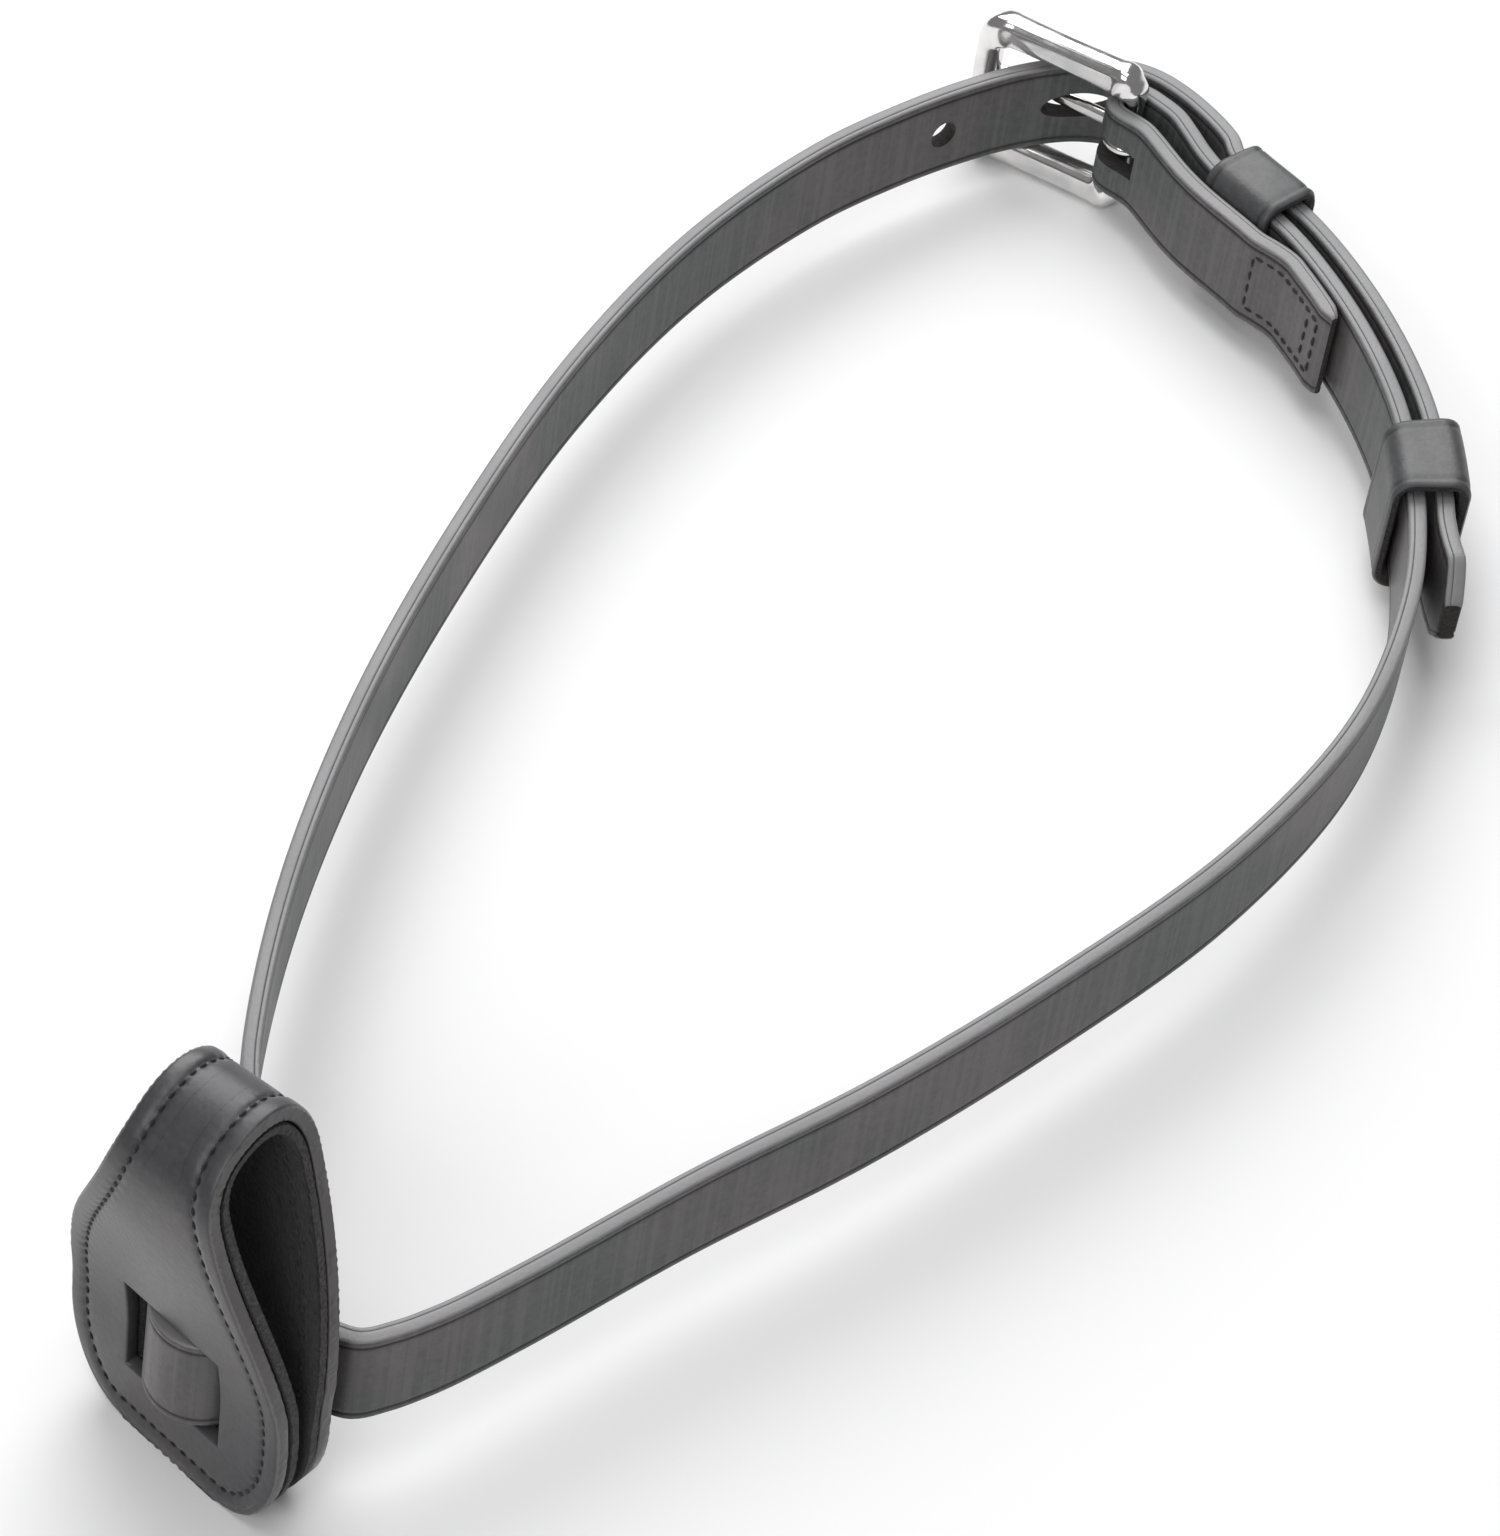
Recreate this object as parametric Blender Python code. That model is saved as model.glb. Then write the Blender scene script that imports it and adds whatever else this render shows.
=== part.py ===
"""Buckled leather strap with a folded, lined slide loop.

Lengths are millimetres until place() turns them into metres. +Z is up, +X runs from the slide loop to the
buckle, and the object stands on the lower edge of the slide loop and the lower bar of the buckle.
"""
import math

import bpy

MM = 0.001

# middle of the footprint, which becomes the part's origin
MIDDLE = (-0.91, -5.74, 0.0)

# strap
STRAP_WIDTH = 12.5
STRAP_THICK = 2.4
STRAP_BEVEL = 0.45
LEAN = math.tan(math.radians(12.0))
RISE_AT_LOOP = 10.0
RISE_AT_BUCKLE = 4.84
LOOP_X = -118.0
BUCKLE_X = 114.0
OPEN_STEP = 2.6
BEND_TURN = math.radians(11.0)
FINE_STEP = 0.25
POINT_LENGTH = 4.5
POINT_NARROWING = 0.45
SKIVE_LENGTH = 2.0
SKIVE_THICK = 0.45

# layers where the strap doubles back at the buckle, centre line to centre line
FLAP_LENGTH = 50.5
FLAP_GAP_KEEPER = 4.5
FLAP_GAP_END = 2.75
FLAP_SETTLE = 8.0
BILLET_GAP = 3.7
BILLET_SPREAD = 1.0
BILLET_SETTLE = 6.0
BILLET_START = 12.5
BILLET_END = 99.0
BILLET_FLARE = 2.0
BILLET_FLARE_FROM = 88.0

# buckle
HEEL = (114.0, 22.8)
FRAME_LENGTH = 23.0
FRAME_TURN = math.radians(95.5)
FRAME_INNER = 13.6
SIDE_HALF = (2.3, 2.1)
FRONT_HALF = (1.8, 1.7)
HEEL_HALF = (1.3, 1.3)
FRAME_CORNER = 3.4
FRAME_SIDES = 12
BAR_CLEAR = 0.3
TONGUE_RADIUS = 0.95
TONGUE_TIP_RADIUS = 0.72
TONGUE_SIDES = 10
SLOT_HEIGHT = 3.6
SLOT_LENGTH = 7.6
SLOT_FRONT = 6.0
SLOT_DEPTH = 4.0

# punched holes of the billet, measured along the strap from the hole in use
HOLE_PITCH = 20.0
HOLE_RADIUS = 1.7
HOLE_OFFSETS = (-1, 1, 2, 3)
USED_HOLE_STRETCH = 2.85
USED_HOLE_SHIFT = 0.6
HOLE_DEPTH = 2.2

# keepers
KEEPER_LENGTH = 12.0
KEEPER_THICK = 1.3
KEEPER_CLEAR = 0.35
SLIDER_CLEAR = 0.8
KEEPER_TALL = 14.2
FIXED_KEEPER_AT = 24.5
SLIDER_AT = 79.2
KEEPER_RADIUS = 2.6
KEEPER_INNER_RADIUS = 1.2

# slide loop
LOOP_FOOT = (-119.2, -11.6)
LOOP_LEAN = math.tan(math.radians(10.0))
LOOP_YAW = math.radians(7.3)
FOLD_YAW = math.radians(1.0)
LOOP_TALL = 56.0
FOLD_RADIUS = 8.8
FOOT_HALF_DEPTH = 4.1
STRAIGHT_FOOT = 15.0
LEATHER_THICK = 1.8
LINING_THICK = 1.3
PLY_GAP = 0.2
LOOP_HALF_WIDTH = 17.9
NECK_HALF_WIDTH = 6.7
NECK_REACH = 37.0
NECK_HOLD = 5.0
FOOT_CORNER = 9.5
FOOT_TAPER = 14.0
LOOP_COLUMNS = 12
WINDOW_HALF = 7.9
WINDOW_LOW = 9.3
WINDOW_HIGH = 23.4
WINDOW_DEPTH = 7.0

# bend of the strap inside the loop's windows
BEND_HALF = 6.2
BEND_FRONT = 4.8
LEG_B_RADIUS = 2.2
LEG_A_RADIUS = 8.0
LEG_START = -4.9

# threads
THREAD_RADIUS = 0.25
THREAD_CLEAR = 0.15
THREAD_SIDES = 5
EDGE_INSET = 2.7
BOX_INSET = 2.2
BOX_START = 32.8
BOX_END = 48.3
CROSS_AT = 45.8
CROSS_REACH = 3.1

# faces of an eight-cornered block, lower four corners first, anticlockwise from above
BLOCK_FACES = ((3, 2, 1, 0), (4, 5, 6, 7), (0, 1, 5, 4), (1, 2, 6, 5), (2, 3, 7, 6), (3, 0, 4, 7))

# centre line of the strap away from the buckle and the loop
NEAR_RUN = (
    (110.6, 7.1), (106.3, -8.1), (99.8, -21.4), (91.9, -33.0), (84.4, -41.3), (72.2, -51.2),
    (59.7, -58.2), (39.0, -64.4), (12.5, -64.7), (-17.0, -59.3), (-43.5, -52.3), (-67.0, -44.0),
    (-90.5, -36.8), (-100.5, -33.2), (-106.6, -29.9), (-110.6, -26.2),
)
FAR_RUN = (
    (-96.5, -0.8), (-84.5, 9.2), (-63.4, 22.1), (-36.0, 34.3), (-4.5, 44.3), (28.5, 51.7),
    (56.6, 53.8), (79.5, 51.1), (92.5, 47.2), (102.5, 43.0), (110.6, 38.4), (117.3, 32.2),
    (120.3, 25.4), (120.0, 18.5),
)


# ---- plane curves

def add(a, b, k=1.0):
    return (a[0] + b[0] * k, a[1] + b[1] * k)


def distance(a, b):
    return math.hypot(a[0] - b[0], a[1] - b[1])


def arc(centre, radius, start, end, count):
    """Points of a circular arc, both ends included; angles in degrees."""
    angles = [math.radians(start + (end - start) * i / count) for i in range(count + 1)]
    return [(centre[0] + radius * math.cos(a), centre[1] + radius * math.sin(a)) for a in angles]


def blend(points, i, t):
    """Centripetal Catmull-Rom between points[i] and points[i + 1]."""
    p0 = points[max(i - 1, 0)]
    p1 = points[i]
    p2 = points[i + 1]
    p3 = points[min(i + 2, len(points) - 1)]
    d1 = math.sqrt(distance(p0, p1)) or 1.0
    d2 = math.sqrt(distance(p1, p2))
    d3 = math.sqrt(distance(p2, p3)) or 1.0
    out = []
    for k in (0, 1):
        m1 = d2 * ((p1[k] - p0[k]) / d1 - (p2[k] - p0[k]) / (d1 + d2) + (p2[k] - p1[k]) / d2)
        m2 = d2 * ((p2[k] - p1[k]) / d2 - (p3[k] - p1[k]) / (d2 + d3) + (p3[k] - p2[k]) / d3)
        out.append(
            (2 * t ** 3 - 3 * t ** 2 + 1) * p1[k] + (t ** 3 - 2 * t ** 2 + t) * m1
            + (3 * t ** 2 - 2 * t ** 3) * p2[k] + (t ** 3 - t ** 2) * m2
        )
    return tuple(out)


def smooth(points):
    """A fine polyline through the points."""
    out = []
    for i in range(len(points) - 1):
        count = max(2, round(distance(points[i], points[i + 1]) / FINE_STEP))
        out += [blend(points, i, j / count) for j in range(count)]
    return out + [points[-1]]


def headings(points):
    """Unit tangent at every point."""
    out = []
    for i in range(len(points)):
        a = points[max(i - 1, 0)]
        b = points[min(i + 1, len(points) - 1)]
        length = distance(a, b)
        out.append(((b[0] - a[0]) / length, (b[1] - a[1]) / length))
    return out


def lengths(points):
    out = [0.0]
    for a, b in zip(points, points[1:]):
        out.append(out[-1] + distance(a, b))
    return out


def thin(points):
    """Keep a point when the line has turned or run far enough since the last one kept."""
    tangents = headings(points)
    kept = [0]
    for i in range(1, len(points) - 1):
        last = tangents[kept[-1]]
        turn = abs(last[0] * tangents[i][1] - last[1] * tangents[i][0])
        if turn > math.sin(BEND_TURN) or distance(points[kept[-1]], points[i]) > OPEN_STEP:
            kept.append(i)
    if distance(points[kept[-1]], points[-1]) < OPEN_STEP / 3:
        kept.pop()
    return [points[i] for i in kept] + [points[-1]]


def offset_at(points, at, aside):
    """Point and tangent at a length along the line, moved aside to its left."""
    total = 0.0
    tangents = headings(points)
    for i in range(len(points) - 1):
        step = distance(points[i], points[i + 1])
        if total + step >= at or i == len(points) - 2:
            share = (at - total) / step
            x = points[i][0] + (points[i + 1][0] - points[i][0]) * share
            y = points[i][1] + (points[i + 1][1] - points[i][1]) * share
            tx, ty = tangents[i]
            return (x - ty * aside, y + tx * aside), (tx, ty)
        total += step
    return points[-1], tangents[-1]


def ease(t):
    t = min(max(t, 0.0), 1.0)
    return t * t * (3.0 - 2.0 * t)


# ---- where the strap runs

def loop_axes(tall):
    """Across and outward directions of the slide loop at a height."""
    yaw = LOOP_YAW + (FOLD_YAW - LOOP_YAW) * ease((tall - WINDOW_HIGH) / (LOOP_TALL - WINDOW_HIGH))
    across = (-math.sin(yaw), -math.cos(yaw))
    outward = (-math.cos(yaw), math.sin(yaw))
    return across, outward


def loop_point(across_by, outward_by, tall, lean=True):
    across, outward = loop_axes(tall)
    x, y = add(add(LOOP_FOOT, across, across_by), outward, outward_by)
    if lean:
        x += LOOP_LEAN * tall
    return (x, y, tall)


def in_window(across_by, outward_by):
    """Plan position of a strap point given in the loop's own directions, at strap mid height."""
    middle = rise(LOOP_X) + STRAP_WIDTH / 2
    x, y, _ = loop_point(across_by, outward_by, middle)
    return (x, y)


def window_bend():
    """Down leg B, round the bend that shows in the windows, and out along leg A."""
    leg_b = arc((BEND_HALF + LEG_B_RADIUS, LEG_START), LEG_B_RADIUS, 270, 180, 5)
    bend = arc((0.0, BEND_FRONT - BEND_HALF), BEND_HALF, 0, 180, 10)
    leg_a = arc((-BEND_HALF - LEG_A_RADIUS, LEG_START), LEG_A_RADIUS, 0, -45, 4)
    return [in_window(*p) for p in leg_b + bend + leg_a]


def rise(x):
    share = (x - LOOP_X) / (BUCKLE_X - LOOP_X)
    return RISE_AT_LOOP + (RISE_AT_BUCKLE - RISE_AT_LOOP) * min(max(share, -0.1), 1.1)


def main_run():
    """Centre line from the outer side of the heel bar to the bend in the loop."""
    wrap = HEEL_HALF[0] + BAR_CLEAR + STRAP_THICK / 2
    start = [(HEEL[0] + wrap, HEEL[1]), (HEEL[0] + wrap - 0.7, HEEL[1] - 5.0)]
    return smooth(start + list(NEAR_RUN))


def heel_wrap():
    """Fold of the strap round the heel bar, from the flap side to the outer side."""
    wrap = HEEL_HALF[0] + BAR_CLEAR + STRAP_THICK / 2
    return arc(HEEL, wrap, 180, 0, 8)


def flap_gap(at):
    wrap = 2 * (HEEL_HALF[0] + BAR_CLEAR + STRAP_THICK / 2)
    keeper_front = FIXED_KEEPER_AT - KEEPER_LENGTH / 2
    keeper_back = FIXED_KEEPER_AT + KEEPER_LENGTH / 2
    if at < keeper_front:
        return wrap + (FLAP_GAP_KEEPER - wrap) * ease(at / keeper_front)
    share = (at - keeper_back) / FLAP_SETTLE
    return FLAP_GAP_KEEPER + (FLAP_GAP_END - FLAP_GAP_KEEPER) * ease(share)


def flap_line():
    """Turn-back flap, from its skived end to the fold."""
    run = main_run()
    count = 16
    stations = [FLAP_LENGTH * (1 - i / count) for i in range(count)]
    return [offset_at(run, at, -flap_gap(at))[0] for at in stations]


def billet_gap(at):
    spread = BILLET_SPREAD * (1 - ease((at - BILLET_START) / BILLET_SETTLE))
    flare = BILLET_FLARE * ease((at - BILLET_FLARE_FROM) / (BILLET_END - BILLET_FLARE_FROM))
    return BILLET_GAP + spread + flare


def billet_line():
    """Loose end of the strap lying outside the main run, through both keepers."""
    run = main_run()
    count = 24
    span = BILLET_END - BILLET_START
    stations = [BILLET_START + span * i / count for i in range(count + 1)]
    return [offset_at(run, at, billet_gap(at))[0] for at in stations]


def strap_line():
    near = main_run()[8::16]
    points = flap_line() + heel_wrap() + near + window_bend() + list(FAR_RUN) + billet_line()
    cleaned = [points[0]]
    for p in points[1:]:
        if distance(cleaned[-1], p) > 0.9:
            cleaned.append(p)
    return smooth(cleaned)


# ---- meshes

def leaned(x, y, z):
    """Lean of the strap: its upper edge stands further along +X than its lower edge."""
    return (x + LEAN * (z - rise(x) - STRAP_WIDTH / 2), y, z)


def buckle_middle():
    return rise(HEEL[0]) + STRAP_WIDTH / 2


def tilted(x, y, z):
    """The same lean as a true turn about the middle of the heel bar, for metal pieces."""
    angle = math.atan(LEAN)
    dx = x - HEEL[0]
    dz = z - buckle_middle()
    return (
        HEEL[0] + dx * math.cos(angle) + dz * math.sin(angle),
        y,
        buckle_middle() + dz * math.cos(angle) - dx * math.sin(angle),
    )


def place(name, points, faces, material, origin=MIDDLE, rounded=True):
    mesh = bpy.data.meshes.new(name)
    mesh.from_pydata([[(p[k] - origin[k]) * MM for k in range(3)] for p in points], [], faces)
    mesh.validate()
    mesh.materials.append(material)
    for polygon in mesh.polygons:
        polygon.use_smooth = rounded
    obj = bpy.data.objects.new(name, mesh)
    obj.location = [(origin[k] - MIDDLE[k]) * MM for k in range(3)]
    bpy.context.scene.collection.objects.link(obj)
    return obj


def tube_faces(rows, sides, closed):
    """Quads between rings of equal size, with end caps when the tube is open."""
    faces = []
    last = rows if closed else rows - 1
    for i in range(last):
        a = i * sides
        b = ((i + 1) % rows) * sides
        for j in range(sides):
            k = (j + 1) % sides
            faces.append((a + j, a + k, b + k, b + j))
    if not closed:
        faces.append(tuple(reversed(range(sides))))
        faces.append(tuple((rows - 1) * sides + j for j in range(sides)))
    return faces


def thread_tube(path, closed):
    """Rings of a thin round tube along a 3-D path."""
    points = []
    count = len(path)
    for i, centre in enumerate(path):
        before = path[(i - 1) % count] if closed or i else centre
        after = path[(i + 1) % count] if closed or i < count - 1 else centre
        t = [after[k] - before[k] for k in range(3)]
        size = math.sqrt(sum(v * v for v in t))
        t = [v / size for v in t]
        helper = (0.0, 0.0, 1.0) if abs(t[2]) < 0.8 else (1.0, 0.0, 0.0)
        u = cross(helper, t)
        size = math.sqrt(sum(v * v for v in u))
        u = [v / size for v in u]
        v = cross(t, u)
        for j in range(THREAD_SIDES):
            a = 2 * math.pi * j / THREAD_SIDES
            c = THREAD_RADIUS * math.cos(a)
            s = THREAD_RADIUS * math.sin(a)
            points.append([centre[k] + u[k] * c + v[k] * s for k in range(3)])
    return points


def cross(a, b):
    return (a[1] * b[2] - a[2] * b[1], a[2] * b[0] - a[0] * b[2], a[0] * b[1] - a[1] * b[0])


def cut(target, cutter):
    cutter.hide_render = True
    cutter.display_type = "WIRE"
    step = target.modifiers.new(cutter.name, "BOOLEAN")
    step.operation = "DIFFERENCE"
    step.solver = "EXACT"
    step.object = cutter


# ---- materials

def make_material(name, colour, roughness, metallic=0.0):
    material = bpy.data.materials.new(name)
    material.use_nodes = True
    shader = material.node_tree.nodes["Principled BSDF"]
    shader.inputs["Base Color"].default_value = (*colour, 1.0)
    shader.inputs["Roughness"].default_value = roughness
    shader.inputs["Metallic"].default_value = metallic
    return material


def strap_leather():
    return make_material("strap_leather", (0.035, 0.034, 0.036), 0.45)


def keeper_leather():
    return make_material("keeper_leather", (0.04, 0.04, 0.042), 0.48)


def loop_leather_material():
    return make_material("loop_leather", (0.032, 0.031, 0.034), 0.38)


def lining_felt():
    return make_material("loop_lining", (0.012, 0.01, 0.011), 0.95)


def frame_steel():
    return make_material("buckle_steel", (0.78, 0.77, 0.76), 0.16, 1.0)


def thread_polyester():
    return make_material("black_thread", (0.012, 0.012, 0.013), 0.7)


# ---- strap

def strap_section(at, total):
    """Half thickness, half width of the section at a length along the strap."""
    skive = min(at / SKIVE_LENGTH, 1.0)
    half_thick = STRAP_THICK / 2 * (SKIVE_THICK + (1 - SKIVE_THICK) * skive)
    point = min((total - at) / POINT_LENGTH, 1.0)
    half_width = STRAP_WIDTH / 2 * (POINT_NARROWING + (1 - POINT_NARROWING) * point)
    return half_thick, half_width


def build_strap(material):
    line = thin(strap_line())
    tangents = headings(line)
    at = lengths(line)
    points = []
    for (x, y), (tx, ty), here in zip(line, tangents, at):
        half_thick, half_width = strap_section(here, at[-1])
        b = min(STRAP_BEVEL, half_thick * 0.5)
        middle = rise(x) + STRAP_WIDTH / 2
        ring = (
            (half_thick, half_width - b), (half_thick - b, half_width),
            (b - half_thick, half_width), (-half_thick, half_width - b),
            (-half_thick, b - half_width), (b - half_thick, -half_width),
            (half_thick - b, -half_width), (half_thick, b - half_width),
        )
        for aside, up in ring:
            points.append(leaned(x - ty * aside, y + tx * aside, middle + up))
    strap = place("strap", points, tube_faces(len(line), 8, False), material)
    cut(strap, tongue_slot_cutter())
    for cutter in hole_cutters():
        cut(strap, cutter)
    return strap


def tongue_slot_cutter():
    """Box through both layers at the fold, where the tongue passes."""
    reach = HEEL_HALF[0] + STRAP_THICK + SLOT_DEPTH
    back = -SLOT_LENGTH / 2
    low = buckle_middle() - SLOT_HEIGHT / 2
    points = []
    for z in (low, low + SLOT_HEIGHT):
        for dx, dy in ((-reach, back), (reach, back), (reach, SLOT_FRONT), (-reach, SLOT_FRONT)):
            points.append(leaned(HEEL[0] + dx, HEEL[1] + dy, z))
    return place("cutter_tongue_slot", points, BLOCK_FACES, cutter_grey(), rounded=False)


def cutter_grey():
    return bpy.data.materials.get("cutter") or make_material("cutter", (0.5, 0.5, 0.5), 0.5)


def used_hole_at(line):
    """Length along the strap where the tongue goes through it."""
    at = lengths(line)
    shank = smooth(tongue_line()[-6:-1])
    best = min(range(len(line) // 2, len(line)), key=lambda i: min(distance(line[i], p) for p in shank))
    return at[best]


def hole_cutters():
    line = strap_line()
    used = used_hole_at(line)
    holes = [(used + USED_HOLE_SHIFT, HOLE_RADIUS * USED_HOLE_STRETCH)]
    holes += [(used + k * HOLE_PITCH, HOLE_RADIUS) for k in HOLE_OFFSETS]
    cutters = []
    sides = 16
    for number, (at, half_length) in enumerate(holes):
        centre, (tx, ty) = offset_at(line, at, 0.0)
        middle = rise(centre[0]) + STRAP_WIDTH / 2
        points = []
        for depth in (-HOLE_DEPTH, HOLE_DEPTH):
            for j in range(sides):
                a = 2 * math.pi * j / sides
                along = half_length * math.cos(a)
                up = HOLE_RADIUS * math.sin(a)
                x = centre[0] + tx * along - ty * depth
                y = centre[1] + ty * along + tx * depth
                points.append(leaned(x, y, middle + up))
        faces = [tuple(reversed(face)) for face in tube_faces(2, sides, False)]
        cutters.append(place(f"cutter_hole_{number}", points, faces, cutter_grey(), rounded=False))
    return cutters


# ---- buckle

def frame_axes():
    along = (math.cos(FRAME_TURN), math.sin(FRAME_TURN))
    outward = (along[1], -along[0])
    return along, outward


def frame_stations():
    """(along, up, half in plane, half out of plane) round the frame, starting on the heel bar."""
    tall = FRAME_INNER / 2 + SIDE_HALF[0]
    corner = FRAME_CORNER
    front = FRAME_LENGTH
    outline = []
    for share in (-0.8, -0.4, 0.0, 0.4, 0.8):
        outline.append((0.0, share * (tall - corner), HEEL_HALF))
    for k, p in enumerate(arc((corner, tall - corner), corner, 180, 90, 5)):
        outline.append((p[0], p[1], between(HEEL_HALF, SIDE_HALF, ease(k / 5))))
    for share in (0.25, 0.5, 0.75):
        outline.append((corner + share * (front - 2 * corner), tall, SIDE_HALF))
    for k, p in enumerate(arc((front - corner, tall - corner), corner, 90, 0, 5)):
        outline.append((p[0], p[1], between(SIDE_HALF, FRONT_HALF, ease(k / 5))))
    for share in (0.5, 0.0, -0.5):
        outline.append((front, share * (tall - corner), FRONT_HALF))
    for k, p in enumerate(arc((front - corner, corner - tall), corner, 0, -90, 5)):
        outline.append((p[0], p[1], between(FRONT_HALF, SIDE_HALF, ease(k / 5))))
    for share in (0.75, 0.5, 0.25):
        outline.append((corner + share * (front - 2 * corner), -tall, SIDE_HALF))
    for k, p in enumerate(arc((corner, corner - tall), corner, -90, -180, 5)):
        outline.append((p[0], p[1], between(SIDE_HALF, HEEL_HALF, ease(k / 5))))
    return outline


def between(a, b, t):
    return (a[0] + (b[0] - a[0]) * t, a[1] + (b[1] - a[1]) * t)


def build_frame(material):
    outline = frame_stations()
    count = len(outline)
    along, outward = frame_axes()
    points = []
    for i, (u, v, half) in enumerate(outline):
        before = outline[(i - 1) % count]
        after = outline[(i + 1) % count]
        du = after[0] - before[0]
        dv = after[1] - before[1]
        size = math.hypot(du, dv)
        nu = -dv / size
        nv = du / size
        for j in range(FRAME_SIDES):
            a = 2 * math.pi * j / FRAME_SIDES
            c = half[0] * rounded_square(math.cos(a))
            s = half[1] * rounded_square(math.sin(a))
            p = add(add(HEEL, along, u + nu * c), outward, s)
            points.append(tilted(p[0], p[1], buckle_middle() + v + nv * c))
    origin = (HEEL[0], HEEL[1], buckle_middle())
    return place("buckle_frame", points, tube_faces(count, FRAME_SIDES, True), material, origin)


def rounded_square(value):
    """Flattens a circle's sides a little."""
    return math.copysign(abs(value) ** 0.8, value)


def tongue_line():
    """Plan path of the tongue: open eye round the heel bar, shank, tip on the front bar."""
    eye = HEEL_HALF[0] + BAR_CLEAR + TONGUE_RADIUS
    ring = arc(HEEL, eye, 100, 360, 13)
    along, outward = frame_axes()
    front = add(HEEL, along, FRAME_LENGTH)
    over = FRONT_HALF[1] + 0.3 + TONGUE_RADIUS
    shank = [
        (HEEL[0] + eye, HEEL[1] + 3.5),
        (HEEL[0] + eye - 0.2, HEEL[1] + 7.5),
        (HEEL[0] + eye - 0.6, HEEL[1] + 12.0),
        add(add(front, along, -4.5), outward, over + 0.2),
        add(front, outward, over - 0.05),
        add(add(front, along, 2.6), outward, over - 0.7),
    ]
    return ring + shank


def build_tongue(material):
    line = tongue_line()
    tangents = headings(line)
    points = []
    count = len(line)
    sections = [(p, t, TONGUE_RADIUS) for p, t in zip(line, tangents)]
    for i in range(count - 3, count):
        share = (i - count + 4) / 3
        sections[i] = (line[i], tangents[i], TONGUE_RADIUS + (TONGUE_TIP_RADIUS - TONGUE_RADIUS) * share)
    end, heading, radius = sections[-1]
    sections.append((add(end, heading, radius * 0.7), heading, radius * 0.7))
    sections.append((add(end, heading, radius * 1.0), heading, radius * 0.2))
    for p, (tx, ty), radius in sections:
        for j in range(TONGUE_SIDES):
            a = 2 * math.pi * j / TONGUE_SIDES
            aside = radius * math.cos(a)
            up = radius * math.sin(a)
            points.append(tilted(p[0] - ty * aside, p[1] + tx * aside, buckle_middle() + up))
    origin = (HEEL[0], HEEL[1], buckle_middle())
    return place("buckle_tongue", points, tube_faces(len(sections), TONGUE_SIDES, False), material, origin)


# ---- keepers

def ring_profile(low_side, high_side, half_tall, radius):
    """Rounded rectangle in (aside, up), anticlockwise."""
    r = radius
    out = []
    corners = ((high_side - r, half_tall - r, 0), (low_side + r, half_tall - r, 90),
               (low_side + r, r - half_tall, 180), (high_side - r, r - half_tall, 270))
    for cx, cy, start in corners:
        out += arc((cx, cy), r, start, start + 90, 3)
    return out


def build_keeper(name, at, clear, material, origin=MIDDLE):
    """A closed leather band round the main run and the billet, bent along the strap."""
    run = main_run()
    gap = BILLET_GAP
    inner_low = -STRAP_THICK / 2 - clear
    inner_high = gap + STRAP_THICK / 2 + clear
    half = KEEPER_TALL / 2
    inner = ring_profile(inner_low, inner_high, half, KEEPER_INNER_RADIUS)
    low = inner_low - KEEPER_THICK
    high = inner_high + KEEPER_THICK
    outer = ring_profile(low, high, half + KEEPER_THICK, KEEPER_RADIUS)
    rows = 6
    points = []
    for i in range(rows + 1):
        here = at - KEEPER_LENGTH / 2 + KEEPER_LENGTH * i / rows
        centre, (tx, ty) = offset_at(run, here, 0.0)
        middle = rise(centre[0]) + STRAP_WIDTH / 2
        for aside, up in outer + inner:
            points.append(leaned(centre[0] - ty * aside, centre[1] + tx * aside, middle + up))
    sides = len(outer)
    faces = []
    for i in range(rows):
        a = i * 2 * sides
        b = a + 2 * sides
        for j in range(sides):
            k = (j + 1) % sides
            faces.append((a + j, a + k, b + k, b + j))
            faces.append((a + sides + k, a + sides + j, b + sides + j, b + sides + k))
    end = rows * 2 * sides
    for j in range(sides):
        k = (j + 1) % sides
        faces.append((k, j, sides + j, sides + k))
        faces.append((end + j, end + k, end + sides + k, end + sides + j))
    return place(name, points, faces, material, origin)


def slider_origin():
    centre, _ = offset_at(main_run(), SLIDER_AT, BILLET_GAP / 2)
    return (centre[0], centre[1], rise(centre[0]) + STRAP_WIDTH / 2)


# ---- slide loop

def half_depth(tall):
    """Half the outer depth of the folded loop at a height below the fold's centre."""
    share = (tall - STRAIGHT_FOOT) / (LOOP_TALL - FOLD_RADIUS - STRAIGHT_FOOT)
    return FOOT_HALF_DEPTH + (FOLD_RADIUS - FOOT_HALF_DEPTH) * ease(share)


def fold_profile():
    """Outer profile (outward, up) from the front foot over the fold to the rear foot."""
    centre = LOOP_TALL - FOLD_RADIUS
    side = [i * centre / 26 for i in range(26)]
    front = [(half_depth(t), t) for t in side]
    over = arc((0.0, centre), FOLD_RADIUS, 0, 180, 20)
    rear = [(-half_depth(t), t) for t in reversed(side)]
    return front + over + rear


def inset(profile, depth):
    """Profile moved inward by a depth along its own normals."""
    tangents = headings(profile)
    return [(p[0] - t[1] * depth, p[1] + t[0] * depth) for p, t in zip(profile, tangents)]


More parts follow.
